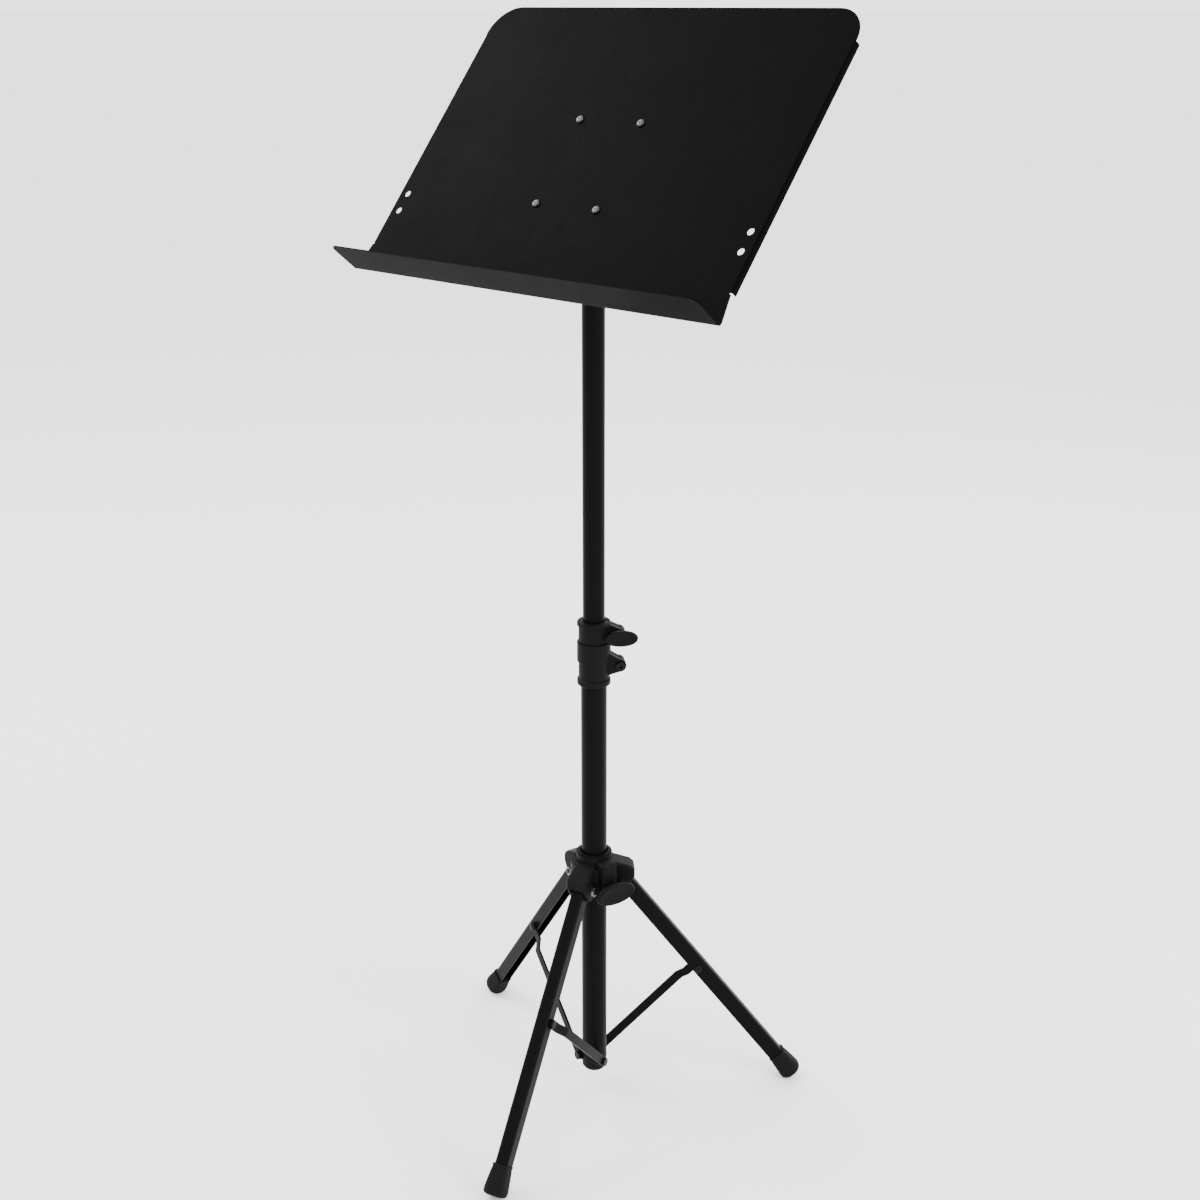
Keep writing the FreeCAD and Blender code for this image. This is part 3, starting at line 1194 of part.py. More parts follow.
def make_desk_screws():
    """The four pan-head screws from the plate's front, and their nuts."""
    nut_face = "(desk_sheet + cheek_sheet)"
    length = f"({nut_face} + desk_nut_height + desk_screw_tail)"
    screws = []
    nuts = []
    for index, (across, up) in enumerate(bracket_screw_places()):
        shank = cylinder(f"DeskScrewShank{index}", "bracket_screw_radius", f"{length} + desk_screw_head_height / 2",
                         across, "-desk_screw_head_height / 2", up, BACKWARDS)
        rim = cylinder(f"DeskScrewRim{index}", "desk_screw_head", "desk_screw_rim", across, "0", up, OUTWARDS)
        dome = cone(f"DeskScrewDome{index}", "desk_screw_head", "desk_screw_top",
                    "desk_screw_head_height - desk_screw_rim", across, "-desk_screw_rim", up, OUTWARDS)
        slots = []
        for name, wide, tall in (("Flat", "cross_length", "cross_width"), ("Tall", "cross_width", "cross_length")):
            slot = bind(doc.addObject("Part::Box", f"DeskScrew{name}{index}"),
                        Length=wide, Width="2 * cross_depth", Height=tall)
            put(slot, f"{across} - {wide} / 2", "-desk_screw_head_height - cross_depth", f"{up} - {tall} / 2")
            slots.append(slot)
        screw = cut(f"DeskScrew{index}", fuse(f"DeskScrewSolid{index}", shank, rim, dome),
                    fuse(f"DeskScrewCross{index}", *slots))
        screws.append(screw)
        nut_block = hexagon(f"DeskNutBlock{index}", "desk_nut_radius", "desk_nut_height",
                            across, nut_face, up, BACKWARDS)
        thread = cylinder(f"DeskNutThread{index}", "bracket_screw_radius + press_gap", "desk_nut_height",
                          across, nut_face, up, BACKWARDS)
        nuts.append(cut(f"DeskNut{index}", nut_block, thread))
    keep("desk_screws", group("DeskScrews", screws), desk_place())
    keep("desk_nuts", group("DeskNuts", nuts), desk_place())


# ---------------------------------------------------------------- tilt joint

def make_tilt_head():
    """The moulded head on the upper tube: a socket below and a cross barrel for the bolt."""
    barrel = cylinder("HeadBarrel", "tilt_head_radius", "tilt_head_width", "-tilt_head_width / 2", "0",
                      "tilt_height", ALONG_X)
    collar = cylinder("HeadSocket", "tilt_socket_radius", "tilt_socket_length - tilt_head_radius",
                      z="tilt_height - tilt_socket_length")
    neck = cone("HeadNeck", "tilt_socket_radius", "tilt_neck_radius", "tilt_head_radius",
                z="tilt_height - tilt_head_radius")
    solid = fuse("HeadSolid", barrel, collar, neck)
    tube = cylinder("HeadTubeBore", "upper_tube_outer / 2 + press_gap", "tilt_socket_length - tilt_tube_drop",
                    z="tilt_height - tilt_socket_length")
    bolt = cylinder("HeadBoltBore", "tilt_bolt_radius + running_gap", "2 * tilt_head_width",
                    "-tilt_head_width", "0", "tilt_height", ALONG_X)
    pin = cylinder("HeadPinBore", "head_pin_radius + press_gap", "4 * tilt_socket_radius",
                   y="2 * tilt_socket_radius", z="tilt_height - head_pin_drop", turn=OUTWARDS)
    keep("tilt_head", cut("TiltHead", solid, fuse("HeadTools", tube, bolt, pin)))
    head_pin = cylinder("HeadPin", "head_pin_radius", "2 * tilt_socket_radius", y="tilt_socket_radius",
                        z="tilt_height - head_pin_drop", turn=OUTWARDS)
    keep("head_pin", head_pin)
    washers = [ring(f"TiltWasher{index}", "tilt_washer_radius", "tilt_bolt_radius + running_gap",
                    "tilt_washer", start, "0", "tilt_height", ALONG_X)
               for index, start in enumerate(("tilt_head_width / 2", "-tilt_head_width / 2 - tilt_washer"))]
    keep("tilt_washers", group("TiltWashers", washers))


def make_tilt_bolt():
    outer = f"({cheek_inner()} + cheek_sheet)"
    shank = cylinder("TiltBoltShank", "tilt_bolt_radius", f"2 * {outer} + joint_gap + knob_grip",
                     f"-{outer}", turn=ALONG_X)
    head = hexagon("TiltBoltHead", "tilt_bolt_head", "tilt_bolt_head_height",
                   f"-{outer} - tilt_bolt_head_height", turn=ALONG_X)
    middle = desk_place() * shift("0", "tilt_behind", "tilt_above")
    keep("tilt_bolt", fuse("TiltBolt", shank, head), middle)
    facing = ALONG_X * FreeCAD.Rotation(Z_AXIS, 90)
    place = middle * shift(f"{outer} + joint_gap", "0", "0", facing)
    make_knob("tilt_knob", "small_knob_half_length", "small_knob_half_width", "small_knob_tip",
              "tilt_bolt_radius + running_gap", place)


# ---------------------------------------------------------------- build and write

def check_objects():
    doc.recompute()
    for item in doc.Objects:
        if "Invalid" in item.State or "Error" in item.State:
            raise RuntimeError(f"{item.Name} failed: {item.State}")
    for node, item in nodes.items():
        if item.Shape.isNull() or not item.Shape.isValid():
            raise RuntimeError(f"{node} has no valid shape")


def write_parts():
    os.makedirs("parts", exist_ok=True)
    for node, item in nodes.items():
        item.Shape.exportStep(f"parts/{node}.step")


fill_sheet()
make_lower_tube()
make_base_fitting()
make_base_pins()
make_upper_tube()
make_tube_glide()
make_collar_upper()
make_collar_lower()
make_collar_screw_and_nuts()
make_collar_knob()
for side_name in SIDES:
    make_leg(side_name)
    make_foot(side_name)
    make_rivet(side_name)
    make_strut(side_name)
make_hub()
make_hub_bushing()
make_hub_pins()
make_hub_lock()
make_desk_plate()
make_bracket("bracket_left", True)
make_bracket("bracket_right", False)
make_desk_screws()
make_tilt_head()
make_tilt_bolt()
check_objects()
write_parts()
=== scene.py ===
import math

import bmesh
import bpy
from mathutils import Matrix, Vector


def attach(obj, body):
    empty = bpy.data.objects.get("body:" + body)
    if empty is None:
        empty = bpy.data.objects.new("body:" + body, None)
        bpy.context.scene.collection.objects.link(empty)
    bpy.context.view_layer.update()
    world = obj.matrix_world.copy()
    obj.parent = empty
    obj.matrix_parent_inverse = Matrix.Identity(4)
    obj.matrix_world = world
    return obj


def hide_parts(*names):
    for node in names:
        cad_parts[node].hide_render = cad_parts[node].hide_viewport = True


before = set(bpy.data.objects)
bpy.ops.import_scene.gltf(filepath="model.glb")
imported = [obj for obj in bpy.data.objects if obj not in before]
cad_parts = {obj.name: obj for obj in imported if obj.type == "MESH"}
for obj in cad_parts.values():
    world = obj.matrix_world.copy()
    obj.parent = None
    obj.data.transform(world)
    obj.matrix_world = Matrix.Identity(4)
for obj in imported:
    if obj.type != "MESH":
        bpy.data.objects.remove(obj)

bl_info = {
    "name": "Orchestra music stand",
    "version": (1, 0, 0),
    "blender": (4, 5, 0),
    "location": "View3D > Sidebar > Music stand",
    "description": "Finishes the folding music stand: desk, mast, collar, tripod and stage",
    "category": "Object",
}

# Directions of the three legs, in degrees from -Y towards +X.
AZIMUTHS = {"front": 16.0, "right": 136.0, "left": 256.0}
TUBES = ("lower_tube", "upper_tube")
PLASTIC_NODES = ("tilt_washers", "tube_glide")
ZINC_NODES = ("desk_nuts", "tilt_bolt", "head_pin", "collar_nut", "collar_bolt_nut", "collar_screw",
              "hub_insert", "hub_screw", "hub_pin_nuts")
DARK_NODES = ("base_pins", "hub_pins", "collar_bolt")
MOULDINGS = (("hub", "slider"), ("hub_bushing", "slider"), ("collar_upper", "mast"),
             ("collar_lower", "mast"), ("base_fitting", "mast"), ("tilt_head", "neck"))

# ---------------------------------------------------------------- outlines
#
# Lengths are in metres. A share is of the size that it is named for. A power is that of a superellipse:
# 2 is an oval, and higher is squarer.

ROUND_POWER = 2.0

# A foot's rings from its mouth to its sole: share of its height, share of the way from the leg's outline
# to the round sole, and how far the ring is drawn in.
FOOT_MOUTH = ((1.0, 0.0, 0.0016), (0.998, 0.0, 0.0007), (0.985, 0.0, 0.0001), (0.97, 0.0, 0.0),
              (0.93, 0.01, 0.0))
FOOT_GROOVE = ((0.915, 0.02, 0.0004), (0.9, 0.03, 0.0005), (0.88, 0.05, 0.0004), (0.8, 0.1, 0.0002))
FOOT_FLARE = ((0.7, 0.18, 0.0), (0.6, 0.28, 0.0), (0.5, 0.4, 0.0), (0.4, 0.53, 0.0), (0.3, 0.68, 0.0),
              (0.22, 0.8, 0.0))
FOOT_SOLE = ((0.15, 0.9, 0.0001), (0.1, 0.95, 0.0004), (0.06, 0.98, 0.001), (0.03, 1.0, 0.0018),
             (0.01, 1.0, 0.003), (0.0, 1.0, 0.0045))
FOOT_MOUTH_POWER = 4.6
FOOT_SOLE_POWER = 2.2

# The rim of a knob's wing, from the neck outwards and over to the dish: how far the ring is drawn in, its
# height as a share of the wing's thickness, and what is added to that height.
KNOB_RIM = ((0.0024, 0.0, 0.0), (0.0012, 0.0, 0.0004), (0.0004, 0.0, 0.0013), (0.0, 0.4, 0.0),
            (0.0001, 0.62, 0.0), (0.0006, 1.0, -0.0013), (0.0015, 1.0, -0.0004), (0.0026, 1.0, 0.0),
            (0.0034, 1.0, -0.0002), (0.0045, 1.0, -0.0008))
KNOB_POWER = 2.15
KNOB_DRAWN_ACROSS = 0.9
KNOB_NECK_EDGE = 0.0005
KNOB_NECK_FLARE = 0.0008
DISH_INSET = 0.0068
DISH_INSET_SHARE = 0.75
DISH_DEPTH = 0.0011

# Heads of screws and rivets, from the underside up: share of the radius and share of the height.
SCREW_PROFILE = ((0.5, 0.0), (0.97, 0.0), (1.0, 0.1), (1.0, 0.36), (0.97, 0.56), (0.88, 0.76), (0.72, 0.91),
                 (0.5, 0.98), (0.25, 1.0))
RIVET_PROFILE = ((0.4, 0.0), (0.98, 0.0), (1.0, 0.2), (0.93, 0.5), (0.76, 0.8), (0.5, 0.96), (0.2, 1.0))
HEAD_SEAT = 0.0008
RIVET_STEPS = 32

# The cross recess: its slots' length and width as shares of the radius, its half depth as a share of the
# head's height, how narrow its bottom is, and its turns in radians.
RECESS_LENGTH = 1.05
RECESS_WIDTH = 0.24
RECESS_DEPTH = 0.9
RECESS_BOTTOM = 0.55
RECESS_TURN = 0.4
RECESS_TURN_UP = 2.1

# Angles in degrees past which an edge stays sharp.
FOOT_CREASE = 34.0
KNOB_CREASE = 50.0
HEAD_CREASE = 40.0
RECESS_CREASE = 30.0

# Clean-up of a copied mesh: distance within which points are one, and angle within which faces are flat.
MERGE_DISTANCE = 1e-6
FLAT_ANGLE = 0.6

# ---------------------------------------------------------------- finish and stage

CELL_SCALE = 0.22
DUST_COVER = 0.35
DUST_PALER = 3.0
DUST_LIFT = 0.008
WEAR_WIDTH = 0.0006
WEAR_METAL = 0.9
MARKS_DIMMER = 0.55
MARKS_COVER = 0.35
FLOOR_HALF = 220.0
FLOOR_DIMMER = 0.985

# Each light's name, place and size. Its power is the stage property called NAME_power.
LIGHTS = (("key", (-2.6, -0.8, 3.3), 2.0), ("rim", (-0.4, 2.8, 2.4), 2.2), ("fill", (2.9, 0.4, 1.8), 1.2))
LIGHT_TARGET = (0.0, 0.0, 0.65)


# ---------------------------------------------------------------- properties

def length(name, description, default):
    return bpy.props.FloatProperty(name=name, description=description, default=default, unit="LENGTH",
                                   precision=5)


def number(name, description, default):
    return bpy.props.FloatProperty(name=name, description=description, default=default, precision=4)


def degrees(name, description, default):
    return bpy.props.FloatProperty(name=name, description=description, default=math.radians(default),
                                   unit="ROTATION")


def count(name, description, default):
    return bpy.props.IntProperty(name=name, description=description, default=default)


def colour(name, description, default):
    return bpy.props.FloatVectorProperty(name=name, description=description, default=default, size=3,
                                         subtype="COLOR", min=0.0, max=1.0)


class StandSizes(bpy.types.PropertyGroup):
    """Places and sizes of the pieces that are remade, as the frame has them."""
    tilt_height: length("Tilt height", "Height of the tilt bolt", 1.072)
    tilt_behind: length("Tilt behind", "Distance of the tilt bolt behind the plate's face", 0.036)
    tilt_above: length("Tilt above", "Height of the tilt bolt above the ledge", 0.1273)
    desk_lean: degrees("Desk lean", "Angle between desk and vertical", 39.6)
    screw_height: length("Screw height", "Height of the middle of the screws above the ledge", 0.1585)
    screws_across: length("Screws across", "Spacing of the screws across", 0.085)
    screws_up: length("Screws up", "Spacing of the screws up the plate", 0.105)
    screw_radius: length("Screw head radius", "Radius of a desk screw's head", 0.0046)
    screw_rise: length("Screw head height", "Height of a desk screw's head", 0.0024)
    knob_gap: length("Knob gap", "Gap between a knob and the face it turns on", 0.0003)
    knob_neck: length("Knob neck", "Length of a knob's neck", 0.007)
    knob_neck_radius: length("Knob neck radius", "Radius of a knob's neck", 0.006)
    knob_thickness: length("Knob thickness", "Thickness of a knob's wing", 0.0075)
    small_knob_long: length("Small knob length", "Half length of a small knob", 0.019)
    small_knob_wide: length("Small knob width", "Half width of a small knob", 0.0093)
    hub_knob_long: length("Hub knob length", "Half length of the hub's knob", 0.026)
    hub_knob_wide: length("Hub knob width", "Half width of the hub's knob", 0.013)
    ear_azimuth: degrees("Ear azimuth", "Direction of the collar's ears", 140.0)
    ear_reach: length("Ear reach", "Distance of the clamp screw from the mast's axis", 0.029)
    ear_face: length("Ear face", "Half width of an ear", 0.0085)
    clamp_height: length("Clamp height", "Height of the height clamp's stud", 0.6005)
    lock_azimuth: degrees("Lock azimuth", "Direction of the hub's knob", 76.0)
    lock_reach: length("Lock reach", "Distance of the locking boss's face", 0.035)
    lock_height: length("Lock height", "Height of the locking stud", 0.288)
    cheek_face: length("Cheek face", "Distance of a cheek's outer face from the middle", 0.022)
    pin_place: length("Leg pin place", "Distance of a leg's top pin from the mast's axis", 0.030995)
    pin_height: length("Leg pin height", "Height of the legs' top pins", 0.288)
    leg_lean: degrees("Leg lean", "Angle between leg and mast", 37.16)
    leg_link: length("Leg link", "Distance between a leg's top pin and its rivet", 0.1581)
    leg_width: length("Leg width", "Width of a leg", 0.016)
    leg_depth: length("Leg depth", "Depth of a leg", 0.018)
    leg_offset: length("Leg offset", "Distance of a leg's middle outwards from its pins", 0.0034)
    foot_end: length("Foot end", "Distance of a sole from the leg's top pin", 0.35622)
    foot_length: length("Foot length", "Length of a foot", 0.035)
    foot_radius: length("Foot radius", "Half width of a foot's sole", 0.0142)
    foot_wall: length("Foot wall", "Wall of a foot round the leg", 0.0019)
    rivet_reach_front: length("Front rivet reach", "Distance of the front rivet's head from the middle",
                              0.0113)
    rivet_reach_side: length("Side rivet reach", "Distance of a side rivet's head from the middle",
                             0.0125)
    rivet_radius: length("Rivet radius", "Radius of a rivet's head", 0.0049)
    rivet_rise: length("Rivet height", "Height of a rivet's head", 0.0015)
    moulded_edge: length("Moulded edge", "Rounding of the edges of moulded pieces", 0.0009)
    sheet_edge: length("Sheet edge", "Rounding of the cut edges of sheet", 0.00028)
    bar_edge: length("Bar edge", "Rounding of the edges of the struts", 0.0006)
    edge_angle: degrees("Edge angle", "Edges sharper than this are rounded", 32.0)
    ring_steps: count("Ring steps", "Points round a knob, foot or screw", 64)


class StandColours(bpy.types.PropertyGroup):
    """Colours and finish of each material."""
    desk: colour("Desk", "Powder coat of the desk", (0.0016, 0.0016, 0.0017))
    tube: colour("Tube", "Powder coat of the tubes and legs", (0.0022, 0.0022, 0.0024))
    plastic: colour("Plastic", "Moulded plastic", (0.0036, 0.0036, 0.0039))
    rubber: colour("Rubber", "Rubber of the feet", (0.0034, 0.0034, 0.0036))
    steel: colour("Steel", "Bare steel under worn edges", (0.32, 0.31, 0.30))
    zinc: colour("Zinc", "Zinc plate", (0.2, 0.2, 0.195))
    screw: colour("Screw", "Plated heads of the desk's screws", (0.055, 0.055, 0.053))
    dark: colour("Dark steel", "Blackened steel of pins and rivets", (0.004, 0.004, 0.0042))
    floor: colour("Floor", "Floor", (0.92, 0.92, 0.92))
    desk_rough: number("Desk roughness", "Roughness of the desk's coat", 0.47)
    tube_rough: number("Tube roughness", "Roughness of the tubes' coat", 0.36)
    plastic_rough: number("Plastic roughness", "Roughness of moulded plastic", 0.5)
    rubber_rough: number("Rubber roughness", "Roughness of rubber", 0.68)


class StandStage(bpy.types.PropertyGroup):
    """Camera and lights."""
    camera_distance: length("Camera distance", "Distance of the camera from the mast's axis", 1.7739)
    camera_height: length("Camera height", "Height of the camera", 1.2746)
    camera_azimuth: degrees("Camera azimuth", "Direction of the camera", 43.032)
    camera_pitch: degrees("Camera pitch", "Downward tilt of the camera", 19.648)
    camera_turn: degrees("Camera turn", "Turn of the camera to its right", 0.226)
    lens: number("Lens", "Focal length in millimetres", 50.15)
    sensor: number("Sensor", "Sensor width in millimetres", 36.0)
    world_level: number("World level", "Strength of the surrounding light", 2.6)
    key_power: number("Key power", "Power of the key light", 110.0)
    rim_power: number("Rim power", "Power of the light behind", 40.0)
    fill_power: number("Fill power", "Power of the fill light", 70.0)


# ---------------------------------------------------------------- shader groups

def new_group(name, inputs, outputs):
    tree = bpy.data.node_groups.new(name, "ShaderNodeTree")
    for label, kind, value in inputs:
        socket = tree.interface.new_socket(label, in_out="INPUT", socket_type=kind)
        socket.default_value = value
    for label, kind in outputs:
        tree.interface.new_socket(label, in_out="OUTPUT", socket_type=kind)
    return tree, tree.nodes.new("NodeGroupInput"), tree.nodes.new("NodeGroupOutput")


def add(tree, kind, settings=None, **values):
    """Adds a node, sets its properties and its named inputs."""
    node = tree.nodes.new(kind)
    for key, value in (settings or {}).items():
        setattr(node, key, value)
    for key, value in values.items():
        socket = node.inputs[key.replace("_", " ")]
        if isinstance(value, bpy.types.NodeSocket):
            tree.links.new(value, socket)
        else:
            socket.default_value = value
    return node


def math_node(tree, operation, first, second=None, clamp=False):
    node = tree.nodes.new("ShaderNodeMath")
    node.operation = operation
    node.use_clamp = clamp
    for socket, value in zip(node.inputs, (first, second)):
        if isinstance(value, bpy.types.NodeSocket):
            tree.links.new(value, socket)
        elif value is not None:
            socket.default_value = value
    return node.outputs[0]


def object_place(tree):
    return tree.nodes.new("ShaderNodeTexCoord").outputs["Object"]


def grain_group():
    """Fine bumps of two sizes: orange peel of a coat, or spark texture of a mould."""
    name = "Surface grain"
    if name in bpy.data.node_groups:
        return bpy.data.node_groups[name]
    tree, inputs, outputs = new_group(
        name, [("Scale", "NodeSocketFloat", 900.0), ("Coarse", "NodeSocketFloat", 0.4)],
        [("Height", "NodeSocketFloat")])
    place = object_place(tree)
    fine = add(tree, "ShaderNodeTexNoise", Vector=place, Scale=inputs.outputs["Scale"], Detail=3.0,
               Roughness=0.6)
    wide = math_node(tree, "MULTIPLY", inputs.outputs["Scale"], CELL_SCALE)
    cells = add(tree, "ShaderNodeTexVoronoi", {"feature": "SMOOTH_F1"}, Vector=place, Scale=wide)
    bumps = math_node(tree, "MULTIPLY", cells.outputs["Distance"], inputs.outputs["Coarse"])
    total = math_node(tree, "ADD", fine.outputs["Fac"], bumps)
    tree.links.new(total, outputs.inputs["Height"])
    return tree


def handling_group():
    """Slow changes of gloss, with faint fingermarks and dust."""
    name = "Handling marks"
    if name in bpy.data.node_groups:
        return bpy.data.node_groups[name]
    tree, inputs, outputs = new_group(
        name, [("Roughness", "NodeSocketFloat", 0.5), ("Spread", "NodeSocketFloat", 0.08)],
        [("Roughness", "NodeSocketFloat"), ("Dust", "NodeSocketFloat")])
    place = object_place(tree)
    slow = add(tree, "ShaderNodeTexNoise", Vector=place, Scale=9.0, Detail=5.0, Roughness=0.55)
    smear = add(tree, "ShaderNodeTexNoise", Vector=place, Scale=46.0, Detail=4.0, Distortion=1.2)
    both = math_node(tree, "ADD", slow.outputs["Fac"], smear.outputs["Fac"])
    centred = math_node(tree, "SUBTRACT", both, 1.0)
    spread = math_node(tree, "MULTIPLY", centred, inputs.outputs["Spread"])
    doubled = math_node(tree, "MULTIPLY", spread, 2.0)
    rough = math_node(tree, "ADD", inputs.outputs["Roughness"], doubled, clamp=True)
    specks = add(tree, "ShaderNodeTexNoise", Vector=place, Scale=420.0, Detail=2.0)
    sparse = add(tree, "ShaderNodeMapRange", {"clamp": True}, Value=specks.outputs["Fac"], From_Min=0.64,
                 From_Max=0.8)
    normal = tree.nodes.new("ShaderNodeNewGeometry").outputs["Normal"]
    up = add(tree, "ShaderNodeSeparateXYZ", Vector=normal)
    facing = math_node(tree, "MULTIPLY", up.outputs["Z"], 1.0, clamp=True)
    dust = math_node(tree, "MULTIPLY", sparse.outputs["Result"], facing)
    tree.links.new(rough, outputs.inputs["Roughness"])
    tree.links.new(dust, outputs.inputs["Dust"])
    return tree


def wear_group():
    """A mask along sharp edges, broken up by noise."""
    name = "Edge wear"
    if name in bpy.data.node_groups:
        return bpy.data.node_groups[name]
    tree, inputs, outputs = new_group(
        name, [("Width", "NodeSocketFloat", WEAR_WIDTH), ("Amount", "NodeSocketFloat", 0.5)],
        [("Mask", "NodeSocketFloat")])
    rounded = add(tree, "ShaderNodeBevel", {"samples": 6}, Radius=inputs.outputs["Width"])
    true = tree.nodes.new("ShaderNodeNewGeometry")
    facing = tree.nodes.new("ShaderNodeVectorMath")
    facing.operation = "DOT_PRODUCT"
    tree.links.new(rounded.outputs["Normal"], facing.inputs[0])
    tree.links.new(true.outputs["Normal"], facing.inputs[1])
    edge = add(tree, "ShaderNodeMapRange", {"clamp": True}, Value=facing.outputs["Value"], From_Min=0.97,
               From_Max=0.8)
    patches = add(tree, "ShaderNodeTexNoise", Vector=object_place(tree), Scale=160.0, Detail=5.0,
                  Roughness=0.7)
    broken = add(tree, "ShaderNodeMapRange", {"clamp": True}, Value=patches.outputs["Fac"], From_Min=0.5,
                 From_Max=0.72)
    mask = math_node(tree, "MULTIPLY", edge.outputs["Result"], broken.outputs["Result"])
    tree.links.new(math_node(tree, "MULTIPLY", mask, inputs.outputs["Amount"], clamp=True),
                   outputs.inputs["Mask"])
    return tree


def rolled_group():
    """Faint marks drawn along one axis, as rolling, drawing or turning leaves."""
    name = "Drawn marks"
    if name in bpy.data.node_groups:
        return bpy.data.node_groups[name]
    tree, inputs, outputs = new_group(
        name, [("Stretch", "NodeSocketVector", (900.0, 900.0, 9.0))], [("Height", "NodeSocketFloat")])
    place = add(tree, "ShaderNodeMapping", Vector=object_place(tree), Scale=inputs.outputs["Stretch"])
    lines = add(tree, "ShaderNodeTexNoise", Vector=place.outputs["Vector"], Scale=1.0, Detail=3.0)
    tree.links.new(lines.outputs["Fac"], outputs.inputs["Height"])
    return tree


def group_node(tree, group, **values):
    node = tree.nodes.new("ShaderNodeGroup")
    node.node_tree = group
    for key, value in values.items():
        node.inputs[key].default_value = value
    return node


# ---------------------------------------------------------------- materials

def new_material(name):
    material = bpy.data.materials.new(name)
    material.use_nodes = True
    return material, material.node_tree, material.node_tree.nodes["Principled BSDF"]


def mixed_colour(tree, mask, base, other):
    mix = tree.nodes.new("ShaderNodeMix")
    mix.data_type = "RGBA"
    tree.links.new(mask, mix.inputs["Factor"])
    for socket, value in ((mix.inputs["A"], base), (mix.inputs["B"], other)):
        if isinstance(value, bpy.types.NodeSocket):
            tree.links.new(value, socket)
        else:
            socket.default_value = (*value, 1.0)
    return mix.outputs["Result"]


def bumped(tree, shader, height, distance):
    bump = add(tree, "ShaderNodeBump", Height=height, Distance=distance, Strength=1.0)
    tree.links.new(bump.outputs["Normal"], shader.inputs["Normal"])


def dark_coat(name, base, rough, grain, depth, specular, under=None, wear=0.0, spread=0.05, coarse=0.4):
    """A black finish with grain, uneven gloss, a little dust, and bare edges if there are any."""
    if name in bpy.data.materials:
        return bpy.data.materials[name]
    material, tree, shader = new_material(name)
    shader.inputs["Specular IOR Level"].default_value = specular
    marks = group_node(tree, handling_group(), Roughness=rough, Spread=spread)
    pale = tuple(min(1.0, channel * DUST_PALER + DUST_LIFT) for channel in base)
    dust = math_node(tree, "MULTIPLY", marks.outputs["Dust"], DUST_COVER)
    tone = mixed_colour(tree, dust, base, pale)
    if under is not None:
        worn = group_node(tree, wear_group(), Width=WEAR_WIDTH, Amount=wear)
        tone = mixed_colour(tree, worn.outputs["Mask"], tone, under)
        metal = math_node(tree, "MULTIPLY", worn.outputs["Mask"], WEAR_METAL)
        tree.links.new(metal, shader.inputs["Metallic"])
    tree.links.new(tone, shader.inputs["Base Color"])
    tree.links.new(marks.outputs["Roughness"], shader.inputs["Roughness"])
    texture = group_node(tree, grain_group(), Scale=grain, Coarse=coarse)
    bumped(tree, shader, texture.outputs["Height"], depth)
    return material


def plated_metal(name, base, rough, stretch, depth):
    """Plated steel with fine marks, which the stretch makes closer in each direction."""
    if name in bpy.data.materials:
        return bpy.data.materials[name]
    material, tree, shader = new_material(name)
    shader.inputs["Metallic"].default_value = 1.0
    marks = group_node(tree, handling_group(), Roughness=rough, Spread=0.06)
    dim = tuple(channel * MARKS_DIMMER for channel in base)
    drawn = group_node(tree, rolled_group(), Stretch=stretch)
    cover = math_node(tree, "MULTIPLY", drawn.outputs["Height"], MARKS_COVER)
    tree.links.new(mixed_colour(tree, cover, base, dim), shader.inputs["Base Color"])
    tree.links.new(marks.outputs["Roughness"], shader.inputs["Roughness"])
    bumped(tree, shader, drawn.outputs["Height"], depth)
    return material


def desk_material():
    tone = bpy.context.scene.stand_colours
    return dark_coat("desk_powder_coat", tone.desk, tone.desk_rough, grain=1500.0, depth=0.00007,
                     specular=0.009, under=tone.steel, wear=0.05, coarse=0.6)


def tube_material():
    tone = bpy.context.scene.stand_colours
    return dark_coat("tube_powder_coat", tone.tube, tone.tube_rough, grain=1700.0, depth=0.00004,
                     specular=0.03, under=tone.steel, wear=0.06)


def plastic_material():
    tone = bpy.context.scene.stand_colours
    return dark_coat("moulded_plastic", tone.plastic, tone.plastic_rough, grain=2600.0, depth=0.00005,
                     specular=0.04)


def rubber_material():
    tone = bpy.context.scene.stand_colours
    return dark_coat("foot_rubber", tone.rubber, tone.rubber_rough, grain=1300.0, depth=0.00009,
                     specular=0.06, spread=0.08)


def pin_material():
    tone = bpy.context.scene.stand_colours
    return dark_coat("blackened_steel", tone.dark, rough=0.34, grain=1900.0, depth=0.00003, specular=0.06,
                     under=tone.steel, wear=0.12)


def zinc_material():
    tone = bpy.context.scene.stand_colours
    return plated_metal("zinc_plate", tone.zinc, rough=0.32, stretch=(700.0, 700.0, 700.0), depth=0.00002)


def screw_material():
    tone = bpy.context.scene.stand_colours
    return plated_metal("plated_screw", tone.screw, rough=0.3, stretch=(1400.0, 1400.0, 1400.0),
                        depth=0.00001)


# ---------------------------------------------------------------- places

def turned(axis, angle):
    return Matrix.Rotation(angle, 4, axis)


def moved(x, y, z):
    return Matrix.Translation((x, y, z))


def leg_place(side):
    """A leg's frame: origin at its top pin, the leg along -Z and outwards -Y."""
    sizes = bpy.context.scene.stand_sizes
    return (turned("Z", math.radians(AZIMUTHS[side])) @ moved(0, -sizes.pin_place, sizes.pin_height)
            @ turned("X", -sizes.leg_lean))


def tilt_place():
    sizes = bpy.context.scene.stand_sizes
    return moved(0, 0, sizes.tilt_height) @ turned("X", -sizes.desk_lean)


def desk_place():
    """The desk's frame: X across, Y backwards, Z up the plate from the ledge."""
    sizes = bpy.context.scene.stand_sizes
    return tilt_place() @ moved(0, -sizes.tilt_behind, -sizes.tilt_above)


# ---------------------------------------------------------------- pieces

